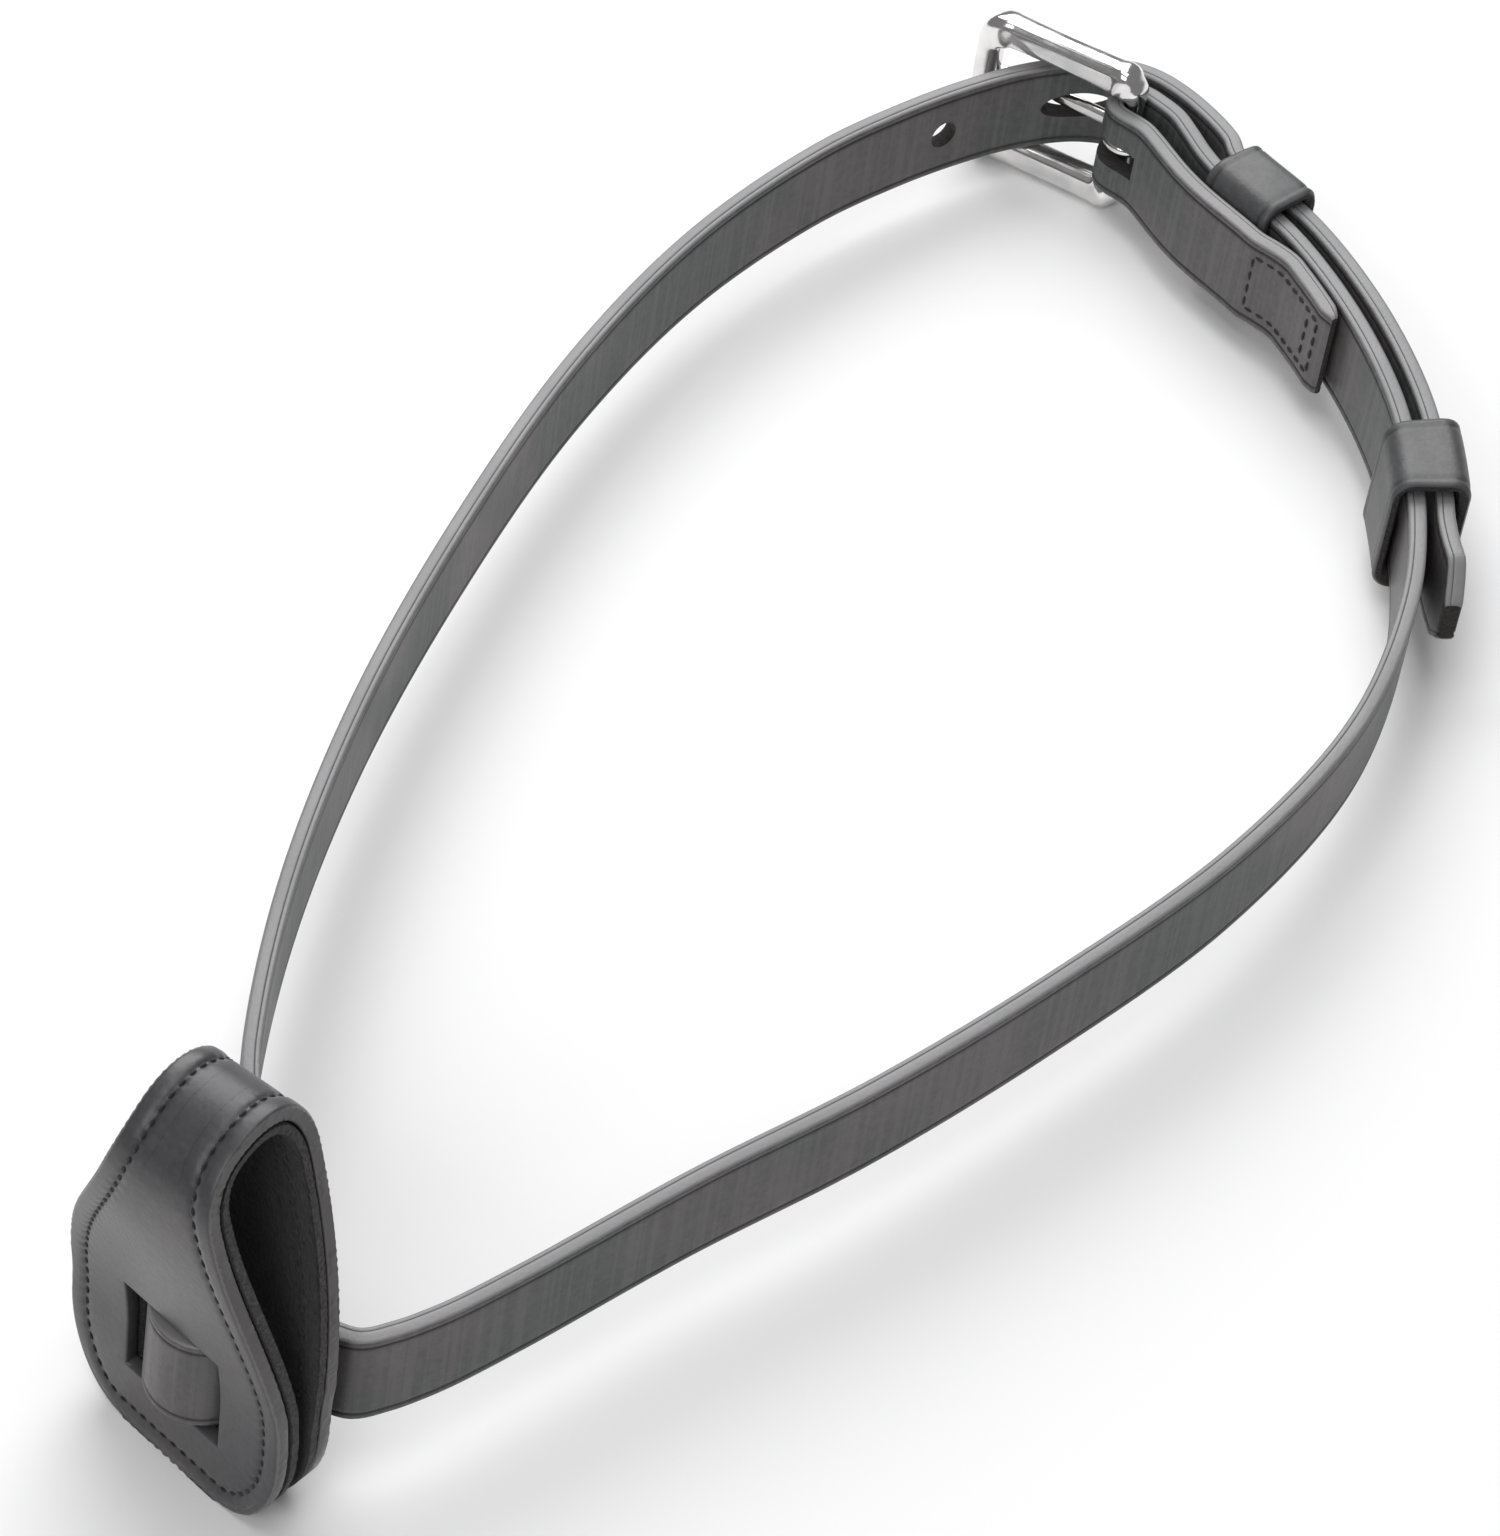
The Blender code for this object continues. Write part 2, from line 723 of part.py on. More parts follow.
def loop_half_width(from_fold, to_foot):
    """Half width of the flat pattern: a dog bone with a narrow neck at the fold and rounded feet."""
    wide = NECK_HALF_WIDTH + (LOOP_HALF_WIDTH - NECK_HALF_WIDTH) * ease((from_fold - NECK_HOLD) / NECK_REACH)
    if to_foot < FOOT_TAPER:
        drop = 1.0 - to_foot / FOOT_TAPER
        wide -= FOOT_CORNER * (1.0 - math.sqrt(max(1.0 - drop ** 2, 0.0)))
    return wide


def pattern_rows():
    """Half width at every point of the fold profile."""
    at = lengths(fold_profile())
    middle = at[-1] / 2
    return [loop_half_width(abs(s - middle), middle - abs(s - middle)) for s in at]


def ply_solid(name, near, far, material):
    """Closed sheet between two depths of the fold profile, with the pattern's outline."""
    profile = fold_profile()
    widths = pattern_rows()
    outer = inset(profile, near)
    inner = inset(profile, far)
    columns = LOOP_COLUMNS
    points = []
    for i, wide in enumerate(widths):
        for layer in (outer, inner):
            for j in range(columns + 1):
                share = 2 * j / columns - 1
                points.append(loop_point(share * wide, layer[i][0], layer[i][1]))
    row = 2 * (columns + 1)
    faces = []
    for i in range(len(widths) - 1):
        a = i * row
        b = a + row
        for j in range(columns):
            faces.append((a + j, b + j, b + j + 1, a + j + 1))
            k = columns + 1 + j
            faces.append((a + k + 1, b + k + 1, b + k, a + k))
        faces.append((a, a + columns + 1, b + columns + 1, b))
        faces.append((a + columns, b + columns, b + 2 * columns + 1, a + 2 * columns + 1))
    last = (len(widths) - 1) * row
    for j in range(columns):
        k = columns + 1 + j
        faces.append((j, j + 1, k + 1, k))
        faces.append((last + j + 1, last + j, last + k, last + k + 1))
    return place(name, points, faces, material, loop_origin())


def loop_origin():
    """Middle of the windows, where the loop rocks on the strap."""
    return loop_point(0.0, 0.0, (WINDOW_LOW + WINDOW_HIGH) / 2)


def window_cutter():
    """Block through both plies."""
    deep = WINDOW_DEPTH
    wide = WINDOW_HALF
    points = []
    for tall in (WINDOW_LOW, WINDOW_HIGH):
        for outward_by, across_by in ((-deep, -wide), (deep, -wide), (deep, wide), (-deep, wide)):
            points.append(loop_point(across_by, outward_by, tall))
    return place("cutter_window", points, BLOCK_FACES, cutter_grey(), rounded=False)


def build_loop(leather, lining):
    outer = ply_solid("loop_leather", 0.0, LEATHER_THICK, leather)
    start = LEATHER_THICK + PLY_GAP
    inner = ply_solid("loop_lining", start, start + LINING_THICK, lining)
    cutter = window_cutter()
    cut(outer, cutter)
    cut(inner, cutter)


def edge_seam(depth):
    """Closed seam line set in from the pattern's edge, at a depth of the fold profile."""
    profile = inset(fold_profile(), depth)
    widths = pattern_rows()
    at = lengths(fold_profile())
    low = next(i for i, s in enumerate(at) if s > EDGE_INSET)
    rows = range(low, len(widths) - low)
    side = [(max(widths[i] - EDGE_INSET, 1.5), i) for i in rows]
    right = [loop_point(w, profile[i][0], profile[i][1]) for w, i in side]
    left = [loop_point(-w, profile[i][0], profile[i][1]) for w, i in reversed(side)]
    return right + left


def build_edge_seams(material):
    outside = -THREAD_CLEAR - THREAD_RADIUS
    inside = LEATHER_THICK + PLY_GAP + LINING_THICK + THREAD_CLEAR + THREAD_RADIUS
    for name, depth in (("loop_edge_thread", outside), ("loop_lining_thread", inside)):
        path = edge_seam(depth)
        points = thread_tube(path, True)
        place(name, points, tube_faces(len(path), THREAD_SIDES, True), material, loop_origin())


# ---- seams of the turn-back flap

def flap_seam_point(at, up, front):
    """On the flap's visible face, or on the outer face of the main run under the billet."""
    away = STRAP_THICK / 2 + THREAD_CLEAR + THREAD_RADIUS
    aside = -flap_gap(at) - away if front else away
    p, _ = offset_at(main_run(), at, aside)
    return leaned(p[0], p[1], rise(p[0]) + STRAP_WIDTH / 2 + up)


def box_seam(front):
    """Closed rectangle of thread."""
    reach = STRAP_WIDTH / 2 - BOX_INSET
    count = 6
    stations = [BOX_START + (BOX_END - BOX_START) * i / count for i in range(count + 1)]
    top = [flap_seam_point(at, reach, front) for at in stations]
    low = [flap_seam_point(at, -reach, front) for at in reversed(stations)]
    return top + low


def cross_seam(front):
    """One line of thread across the flap, inside the box near its end."""
    return [flap_seam_point(CROSS_AT, CROSS_REACH * k / 3, front) for k in range(-3, 4)]


def build_flap_seams(material):
    for name, front in (("box_thread", True), ("box_thread_back", False)):
        path = box_seam(front)
        place(name, thread_tube(path, True), tube_faces(len(path), THREAD_SIDES, True), material)
    for name, front in (("cross_thread", True), ("cross_thread_back", False)):
        path = cross_seam(front)
        place(name, thread_tube(path, False), tube_faces(len(path), THREAD_SIDES, False), material)


def main():
    for obj in list(bpy.data.objects):
        bpy.data.objects.remove(obj)
    build_strap(strap_leather())
    steel = frame_steel()
    build_frame(steel)
    build_tongue(steel)
    keeper = keeper_leather()
    build_keeper("fixed_keeper", FIXED_KEEPER_AT, KEEPER_CLEAR, keeper)
    build_keeper("sliding_keeper", SLIDER_AT, SLIDER_CLEAR, keeper, slider_origin())
    build_loop(loop_leather_material(), lining_felt())
    thread = thread_polyester()
    build_edge_seams(thread)
    build_flap_seams(thread)


main()
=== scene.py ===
import math
import random

import bpy
import numpy as np
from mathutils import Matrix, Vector


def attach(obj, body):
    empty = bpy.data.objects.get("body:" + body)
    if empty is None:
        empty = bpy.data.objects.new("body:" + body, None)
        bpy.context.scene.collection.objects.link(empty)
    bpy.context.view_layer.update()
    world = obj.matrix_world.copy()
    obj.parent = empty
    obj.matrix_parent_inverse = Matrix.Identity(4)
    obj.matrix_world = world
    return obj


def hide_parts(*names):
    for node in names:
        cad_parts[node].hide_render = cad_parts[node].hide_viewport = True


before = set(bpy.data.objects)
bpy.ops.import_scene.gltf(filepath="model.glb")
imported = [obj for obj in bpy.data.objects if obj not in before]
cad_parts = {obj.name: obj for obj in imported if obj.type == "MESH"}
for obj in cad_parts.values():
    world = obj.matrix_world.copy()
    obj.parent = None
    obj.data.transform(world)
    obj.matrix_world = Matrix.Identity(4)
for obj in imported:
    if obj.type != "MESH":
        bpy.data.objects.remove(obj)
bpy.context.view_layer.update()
mm = 0.001
middle = (-0.91, -5.74)  # middle of the footprint in the maker's own drawing, taken off every point
chance = random.Random(7)

# where the leather and the steel lie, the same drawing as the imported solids
strapShape = {
    "width": 12.5, "thick": 2.4, "lean": 12.0, "riseAtLoop": 10.0, "riseAtBuckle": 4.84,
    "rowStep": 0.7, "edgeRadius": 0.42, "creaseInset": 1.0, "creaseDepth": 0.13,
    "holePitch": 20.0, "holeRadius": 1.7, "wornHole": 2.85, "wornShift": 0.6,  # the hole in use is worn long
    "tipLength": 4.5, "tipNarrow": 0.45,
    "skiveLength": 2.0, "skiveThick": 0.45, "wrinkle": 0.035, "wrinkles": 240,
}
overlapShape = {
    "flapLength": 50.5, "gapAtKeeper": 4.5, "gapAtEnd": 2.75, "settle": 8.0,
    "billetGap": 3.7, "billetSpread": 1.0, "billetSettle": 6.0, "billetStart": 12.5, "billetEnd": 99.0,
    "flare": 2.0, "flareFrom": 88.0,
}
buckleShape = {
    "heel": (114.0, 22.8), "length": 23.0, "turn": 95.5, "inner": 13.6, "side": (2.3, 2.1),
    "front": (1.8, 1.7), "heelBar": 1.3, "corner": 3.4, "clear": 0.3, "tongue": 0.95, "tongueTip": 0.72,
    "slotTall": 3.6, "slotBack": 3.8, "slotFront": 6.0,
}
keeperShape = {
    "length": 12.0, "thick": 1.3, "tall": 14.2, "radius": 2.6, "innerRadius": 1.2,
    "fixedAt": 24.5, "fixedClear": 0.35, "slidingAt": 79.2, "slidingClear": 0.8,
}
loopShape = {
    "foot": (-119.2, -11.6), "lean": 10.0, "yaw": 7.3, "foldYaw": 1.0, "tall": 56.0, "foldRadius": 8.8,
    "footHalfDepth": 4.1, "straightFoot": 15.0, "leather": 1.8, "lining": 1.3, "gap": 0.2,
    "halfWidth": 17.9, "neck": 6.7, "neckReach": 37.0, "neckHold": 5.0, "footCorner": 9.5, "footTaper": 14.0,
    "windowHalf": 7.9, "windowLow": 9.3, "windowHigh": 23.4, "seamInset": 2.7,
    "bendHalf": 6.2, "bendFront": 4.8, "legB": 2.2, "legA": 8.0, "legStart": -4.9,
}
nearRun = (
    (110.6, 7.1), (106.3, -8.1), (99.8, -21.4), (91.9, -33.0), (84.4, -41.3), (72.2, -51.2),
    (59.7, -58.2), (39.0, -64.4), (12.5, -64.7), (-17.0, -59.3), (-43.5, -52.3), (-67.0, -44.0),
    (-90.5, -36.8), (-100.5, -33.2), (-106.6, -29.9), (-110.6, -26.2),
)
farRun = (
    (-96.5, -0.8), (-84.5, 9.2), (-63.4, 22.1), (-36.0, 34.3), (-4.5, 44.3), (28.5, 51.7),
    (56.6, 53.8), (79.5, 51.1), (92.5, 47.2), (102.5, 43.0), (110.6, 38.4), (117.3, 32.2),
    (120.3, 25.4), (120.0, 18.5),
)


def distance(a, b):
    return math.hypot(a[0] - b[0], a[1] - b[1])


def shifted(p, direction, by):
    return (p[0] + direction[0] * by, p[1] + direction[1] * by)


def ease(t):
    t = min(max(t, 0.0), 1.0)
    return t * t * (3.0 - 2.0 * t)


def arc(centre, radius, start, end, count):
    angles = [math.radians(start + (end - start) * i / count) for i in range(count + 1)]
    return [(centre[0] + radius * math.cos(a), centre[1] + radius * math.sin(a)) for a in angles]


def curvePoint(points, i, t):
    p0, p1, p2 = points[max(i - 1, 0)], points[i], points[i + 1]
    p3 = points[min(i + 2, len(points) - 1)]
    d1 = math.sqrt(distance(p0, p1)) or 1.0
    d2 = math.sqrt(distance(p1, p2))
    d3 = math.sqrt(distance(p2, p3)) or 1.0
    out = []
    for k in (0, 1):
        m1 = d2 * ((p1[k] - p0[k]) / d1 - (p2[k] - p0[k]) / (d1 + d2) + (p2[k] - p1[k]) / d2)
        m2 = d2 * ((p2[k] - p1[k]) / d2 - (p3[k] - p1[k]) / (d2 + d3) + (p3[k] - p2[k]) / d3)
        out.append((2 * t ** 3 - 3 * t ** 2 + 1) * p1[k] + (t ** 3 - 2 * t ** 2 + t) * m1
                   + (3 * t ** 2 - 2 * t ** 3) * p2[k] + (t ** 3 - t ** 2) * m2)
    return tuple(out)


def smoothLine(points):
    out = []
    for i in range(len(points) - 1):
        count = max(2, round(distance(points[i], points[i + 1]) / 0.25))
        out += [curvePoint(points, i, j / count) for j in range(count)]
    return out + [points[-1]]


def tangentsOf(line):
    line = np.asarray(line, float)
    step = np.empty_like(line)
    step[1:-1] = line[2:] - line[:-2]
    step[0] = line[1] - line[0]
    step[-1] = line[-1] - line[-2]
    return step / np.linalg.norm(step, axis=1)[:, None]


def lengthsOf(line):
    line = np.asarray(line, float)
    return np.concatenate([[0.0], np.cumsum(np.linalg.norm(np.diff(line, axis=0), axis=1))])


def atLength(line, at, aside=0.0):
    total = lengthsOf(line)
    i = int(np.clip(np.searchsorted(total, at) - 1, 0, len(line) - 2))
    share = (at - total[i]) / (total[i + 1] - total[i])
    p = [line[i][k] + (line[i + 1][k] - line[i][k]) * share for k in (0, 1)]
    a, b = line[max(i - 1, 0)], line[i + 1]
    size = distance(a, b)
    tx, ty = (b[0] - a[0]) / size, (b[1] - a[1]) / size
    return (p[0] - ty * aside, p[1] + tx * aside), (tx, ty)


def rise(x):
    share = (x + 118.0) / 232.0
    gain = strapShape["riseAtBuckle"] - strapShape["riseAtLoop"]
    return strapShape["riseAtLoop"] + gain * np.clip(share, -0.1, 1.1)


def midHeight(x):
    return rise(x) + strapShape["width"] / 2


def loopAxes(tall):
    s = loopShape
    turned = ease((tall - s["windowHigh"]) / (s["tall"] - s["windowHigh"]))
    yaw = math.radians(s["yaw"] + (s["foldYaw"] - s["yaw"]) * turned)
    return (-math.sin(yaw), -math.cos(yaw)), (-math.cos(yaw), math.sin(yaw))


def loopPoint(across, outward, tall):
    a, o = loopAxes(tall)
    x, y = shifted(shifted(loopShape["foot"], a, across), o, outward)
    return (x + math.tan(math.radians(loopShape["lean"])) * tall, y, tall)


def windowBend():
    s = loopShape
    legB = arc((s["bendHalf"] + s["legB"], s["legStart"]), s["legB"], 270, 180, 5)
    bend = arc((0.0, s["bendFront"] - s["bendHalf"]), s["bendHalf"], 0, 180, 10)
    legA = arc((-s["bendHalf"] - s["legA"], s["legStart"]), s["legA"], 0, -45, 4)
    tall = midHeight(-118.0)
    return [loopPoint(p[0], p[1], tall)[:2] for p in legB + bend + legA]


def mainRun():
    wrap = buckleShape["heelBar"] + buckleShape["clear"] + strapShape["thick"] / 2
    heel = buckleShape["heel"]
    start = [(heel[0] + wrap, heel[1]), (heel[0] + wrap - 0.7, heel[1] - 5.0)]
    return smoothLine(start + list(nearRun))


def flapGap(at):
    o = overlapShape
    wrap = 2 * (buckleShape["heelBar"] + buckleShape["clear"] + strapShape["thick"] / 2)
    keeperFront = keeperShape["fixedAt"] - keeperShape["length"] / 2
    if at < keeperFront:
        return wrap + (o["gapAtKeeper"] - wrap) * ease(at / keeperFront)
    share = (at - keeperFront - keeperShape["length"]) / o["settle"]
    return o["gapAtKeeper"] + (o["gapAtEnd"] - o["gapAtKeeper"]) * ease(share)


def billetGap(at):
    o = overlapShape
    spread = o["billetSpread"] * (1 - ease((at - o["billetStart"]) / o["billetSettle"]))
    flare = o["flare"] * ease((at - o["flareFrom"]) / (o["billetEnd"] - o["flareFrom"]))
    return o["billetGap"] + spread + flare


run = mainRun()


def strapLine():
    o = overlapShape
    wrap = buckleShape["heelBar"] + buckleShape["clear"] + strapShape["thick"] / 2
    flapStops = [o["flapLength"] * (1 - i / 16) for i in range(16)]
    flap = [atLength(run, at, -flapGap(at))[0] for at in flapStops]
    span = o["billetEnd"] - o["billetStart"]
    billetStops = [o["billetStart"] + span * i / 24 for i in range(25)]
    billet = [atLength(run, at, billetGap(at))[0] for at in billetStops]
    heelFold = arc(buckleShape["heel"], wrap, 180, 0, 8)
    points = flap + heelFold + run[8::16] + windowBend() + list(farRun) + billet
    cleaned = [points[0]]
    for p in points[1:]:
        if distance(cleaned[-1], p) > 0.9:
            cleaned.append(p)
    return smoothLine(cleaned)


def leaned(x, y, z):
    return (x + math.tan(math.radians(strapShape["lean"])) * (z - midHeight(x)), y, z)


def tilted(x, y, z):
    a = math.radians(strapShape["lean"])
    hx, hz = buckleShape["heel"][0], midHeight(buckleShape["heel"][0])
    return (hx + (x - hx) * math.cos(a) + (z - hz) * math.sin(a), y,
            hz + (z - hz) * math.cos(a) - (x - hx) * math.sin(a))


def gridFaces(rows, sides, wrapRows=False):
    r = np.arange(rows if wrapRows else rows - 1)[:, None]
    c = np.arange(sides)[None, :]
    a = r * sides + c
    b = r * sides + (c + 1) % sides
    d = ((r + 1) % rows) * sides
    return np.stack([a, b, d + (c + 1) % sides, d + c], -1).reshape(-1, 4)


def capEnds(faces, rows, sides):
    faces.append(list(range(sides))[::-1])
    faces.append([(rows - 1) * sides + j for j in range(sides)])


def makePiece(name, points, faces, materials, body, replaces=(), uv=None, bands=None, indices=None,
              sharp=35.0):
    points = (np.asarray(points, float) - (middle[0], middle[1], 0.0)) * mm
    mesh = bpy.data.meshes.new(name)
    mesh.from_pydata(points.tolist(), [], [tuple(int(v) for v in f) for f in faces])
    for m in materials:
        mesh.materials.append(m)
    if indices is not None:
        mesh.polygons.foreach_set("material_index", np.asarray(indices, np.int32))
    if uv is not None:
        layer = mesh.uv_layers.new(name="lie")
        layer.data.foreach_set("uv", (np.asarray(uv, np.float32) * mm).ravel())
    for key, values in (bands or {}).items():
        mesh.attributes.new(key, "FLOAT", "POINT").data.foreach_set("value", np.asarray(values, np.float32))
    mesh.polygons.foreach_set("use_smooth", [True] * len(mesh.polygons))
    mesh.update()
    mesh.set_sharp_from_angle(angle=math.radians(sharp))
    piece = bpy.data.objects.new(name, mesh)
    bpy.context.scene.collection.objects.link(piece)
    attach(piece, body)
    if replaces:
        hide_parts(*replaces)
    return piece


# shared helpers and effects for every finish

def addNode(tree, kind, values=None, **settings):
    made = tree.nodes.new(kind)
    for key, value in settings.items():
        setattr(made, key, value)
    for key, value in (values or {}).items():
        made.inputs[key].default_value = value
    return made


def makeGroup(name, inputs, outputs):
    group = bpy.data.node_groups.new(name, "ShaderNodeTree")
    group.interface.new_socket(name="Vector", in_out="INPUT", socket_type="NodeSocketVector")
    for key, value in inputs.items():
        kind = "NodeSocketColor" if isinstance(value, tuple) else "NodeSocketFloat"
        group.interface.new_socket(name=key, in_out="INPUT", socket_type=kind).default_value = value
    for key in outputs:
        kind = "NodeSocketColor" if key == "Color" else "NodeSocketFloat"
        group.interface.new_socket(name=key, in_out="OUTPUT", socket_type=kind)
    given, result = group.nodes.new("NodeGroupInput"), group.nodes.new("NodeGroupOutput")
    return group, given.outputs, result.inputs


def mathNode(tree, operation, a, b=None, clamp=False):
    made = addNode(tree, "ShaderNodeMath", operation=operation, use_clamp=clamp)
    for slot, value in ((0, a), (1, b)):
        if value is None:
            continue
        if isinstance(value, (int, float)):
            made.inputs[slot].default_value = value
        else:
            tree.links.new(value, made.inputs[slot])
    return made.outputs[0]


def weighted(tree, a, shareA, b, shareB, clamp=False):
    # a times its share plus b times its share
    first = a if shareA == 1.0 else mathNode(tree, "MULTIPLY", a, shareA)
    return mathNode(tree, "ADD", first, mathNode(tree, "MULTIPLY", b, shareB), clamp=clamp)


def noiseNode(tree, vector, scale, detail=3.0, rough=0.55):
    made = addNode(tree, "ShaderNodeTexNoise", {"Detail": detail, "Roughness": rough})
    tree.links.new(vector, made.inputs["Vector"])
    if isinstance(scale, (int, float)):
        made.inputs["Scale"].default_value = scale
    else:
        tree.links.new(scale, made.inputs["Scale"])
    return made.outputs["Fac"]


def stretchNode(tree, vector, scale):
    made = addNode(tree, "ShaderNodeMapping", {"Scale": scale})
    tree.links.new(vector, made.inputs["Vector"])
    return made.outputs["Vector"]


def rampNode(tree, value, low, high, toLow=0.0, toHigh=1.0):
    limits = {"From Min": low, "From Max": high, "To Min": toLow, "To Max": toHigh}
    made = addNode(tree, "ShaderNodeMapRange", limits, interpolation_type="SMOOTHSTEP")
    tree.links.new(value, made.inputs["Value"])
    return made.outputs["Result"]


def mixColour(tree, factor, a, b):
    made = addNode(tree, "ShaderNodeMix", data_type="RGBA")
    for socket, value in ((made.inputs["Factor"], factor), (made.inputs["A"], a), (made.inputs["B"], b)):
        if isinstance(value, (int, float)):
            socket.default_value = value
        elif isinstance(value, tuple):
            socket.default_value = (*value, 1.0)
        else:
            tree.links.new(value, socket)
    return made.outputs["Result"]


def buildGrain():
    group, given, result = makeGroup("leatherGrain", {"Pebble": 1700.0, "Depth": 1.0}, ("Height", "Pores"))
    cells = addNode(group, "ShaderNodeTexVoronoi", {"Randomness": 1.0}, feature="SMOOTH_F1")
    group.links.new(given["Vector"], cells.inputs["Vector"])
    group.links.new(given["Pebble"], cells.inputs["Scale"])
    finer = mathNode(group, "MULTIPLY", given["Pebble"], 2.7)
    fine = noiseNode(group, given["Vector"], finer, 2.0)
    slow = noiseNode(group, given["Vector"], 260.0, 3.0)
    pebble = rampNode(group, cells.outputs["Distance"], 0.05, 0.75, 1.0, 0.0)
    total = weighted(group, pebble, 0.55, fine, 0.3)
    total = weighted(group, total, 1.0, slow, 0.9)
    group.links.new(mathNode(group, "MULTIPLY", total, given["Depth"]), result["Height"])
    group.links.new(rampNode(group, fine, 0.56, 0.72), result["Pores"])
    return group


def buildTone():
    group, given, result = makeGroup("dyeTone", {
        "Warm": (0.1, 0.1, 0.1, 1), "Cool": (0.1, 0.1, 0.1, 1), "Patch": 70.0,
    }, ("Color", "Sheen"))
    cloud = noiseNode(group, given["Vector"], given["Patch"], 2.0)
    patches = rampNode(group, cloud, 0.38, 0.62)
    specks = noiseNode(group, given["Vector"], 900.0, 2.0)
    blend = mixColour(group, patches, given["Warm"], given["Cool"])
    light = addNode(group, "ShaderNodeHueSaturation")
    group.links.new(blend, light.inputs["Color"])
    group.links.new(rampNode(group, specks, 0.3, 0.7, 0.88, 1.12), light.inputs["Value"])
    group.links.new(light.outputs["Color"], result["Color"])
    group.links.new(patches, result["Sheen"])
    return group


# mask of the rounded edges, broken up by noise; the strap and loop looks paint a highlight there, partly
# rubbed wear
def buildRaggedEdgeMask():
    group, given, result = makeGroup("raggedEdgeMask", {"Edge": 0.0, "Break": 600.0}, ("Mask",))
    ragged = noiseNode(group, given["Vector"], given["Break"], 4.0)
    held = weighted(group, given["Edge"], 1.0, mathNode(group, "SUBTRACT", ragged, 0.5), 0.5)
    group.links.new(rampNode(group, held, 0.45, 0.8), result["Mask"])
    return group


def buildStretch():
    group, given, result = makeGroup("stretchLines", {"Amount": 1.0}, ("Height", "Streak"))
    fine = noiseNode(group, stretchNode(group, given["Vector"], (1100.0, 60.0, 60.0)), 1.0, 2.0)
    wide = noiseNode(group, stretchNode(group, given["Vector"], (420.0, 40.0, 40.0)), 1.0, 2.0)
    where = rampNode(group, noiseNode(group, given["Vector"], 55.0, 1.0), 0.4, 0.62)
    both = weighted(group, fine, 0.5, wide, 0.8)
    patchy = mathNode(group, "ADD", mathNode(group, "MULTIPLY", where, 0.8), 0.2)
    both = mathNode(group, "MULTIPLY", both, patchy)
    group.links.new(mathNode(group, "MULTIPLY", both, given["Amount"]), result["Height"])
    group.links.new(rampNode(group, fine, 0.42, 0.66), result["Streak"])
    return group


def buildFibre():
    group, given, result = makeGroup("looseFibre", {"Scale": 2200.0}, ("Height", "Tone"))
    warp = addNode(group, "ShaderNodeTexNoise", {"Scale": 500.0, "Detail": 2.0})
    group.links.new(given["Vector"], warp.inputs["Vector"])
    push = addNode(group, "ShaderNodeVectorMath", operation="MULTIPLY_ADD")
    group.links.new(warp.outputs["Color"], push.inputs[0])
    push.inputs[1].default_value = (0.0016, 0.0016, 0.0016)
    group.links.new(given["Vector"], push.inputs[2])
    strands = noiseNode(group, push.outputs["Vector"], given["Scale"], 6.0, 0.75)
    group.links.new(strands, result["Height"])
    group.links.new(rampNode(group, strands, 0.35, 0.7), result["Tone"])
    return group


def buildScratch():
    group, given, result = makeGroup("polishMarks", {}, ("Height", "Haze"))
    lines = noiseNode(group, stretchNode(group, given["Vector"], (3000.0, 250.0, 3000.0)), 1.0, 2.0)
    haze = noiseNode(group, given["Vector"], 300.0, 3.0)
    group.links.new(lines, result["Height"])
    group.links.new(rampNode(group, haze, 0.35, 0.7), result["Haze"])
    return group


groups = {
    "grain": buildGrain(), "tone": buildTone(), "raggedEdge": buildRaggedEdgeMask(), "stretch": buildStretch(),
    "fibre": buildFibre(), "scratch": buildScratch(),
}


def useGroup(tree, key, vector, **values):
    made = addNode(tree, "ShaderNodeGroup", node_tree=groups[key])
    tree.links.new(vector, made.inputs["Vector"])
    for name, value in values.items():
        socket = made.inputs[name]
        if isinstance(value, tuple):
            socket.default_value = (*value, 1.0)
        elif isinstance(value, (int, float)):
            socket.default_value = value
        else:
            tree.links.new(value, socket)
    return made


def startMaterial(name, rough, metallic=0.0, coat=0.0, sheen=0.0, specular=0.5):
    made = bpy.data.materials.new(name)
    made.use_nodes = True
    tree = made.node_tree
    shader = tree.nodes["Principled BSDF"]
    shader.inputs["Roughness"].default_value = rough
    shader.inputs["Metallic"].default_value = metallic
    shader.inputs["Specular IOR Level"].default_value = specular
    shader.inputs["Coat Weight"].default_value = coat
    shader.inputs["Coat Roughness"].default_value = 0.35
    shader.inputs["Sheen Weight"].default_value = sheen
    shader.inputs["Sheen Roughness"].default_value = 0.5
    return made, tree, shader


def bumpInto(tree, shader, height, depth, strength=1.0):
    bump = addNode(tree, "ShaderNodeBump", {"Strength": strength, "Distance": depth})
    tree.links.new(height, bump.inputs["Height"])
    tree.links.new(bump.outputs["Normal"], shader.inputs["Normal"])


def attributeNode(tree, name):
    return addNode(tree, "ShaderNodeAttribute", attribute_name=name, attribute_type="GEOMETRY").outputs["Fac"]


grooveShadeColour = (0.008, 0.008, 0.009)  # painted shade: near-black colour laid into pressed crease lines, stitch grooves and other recesses
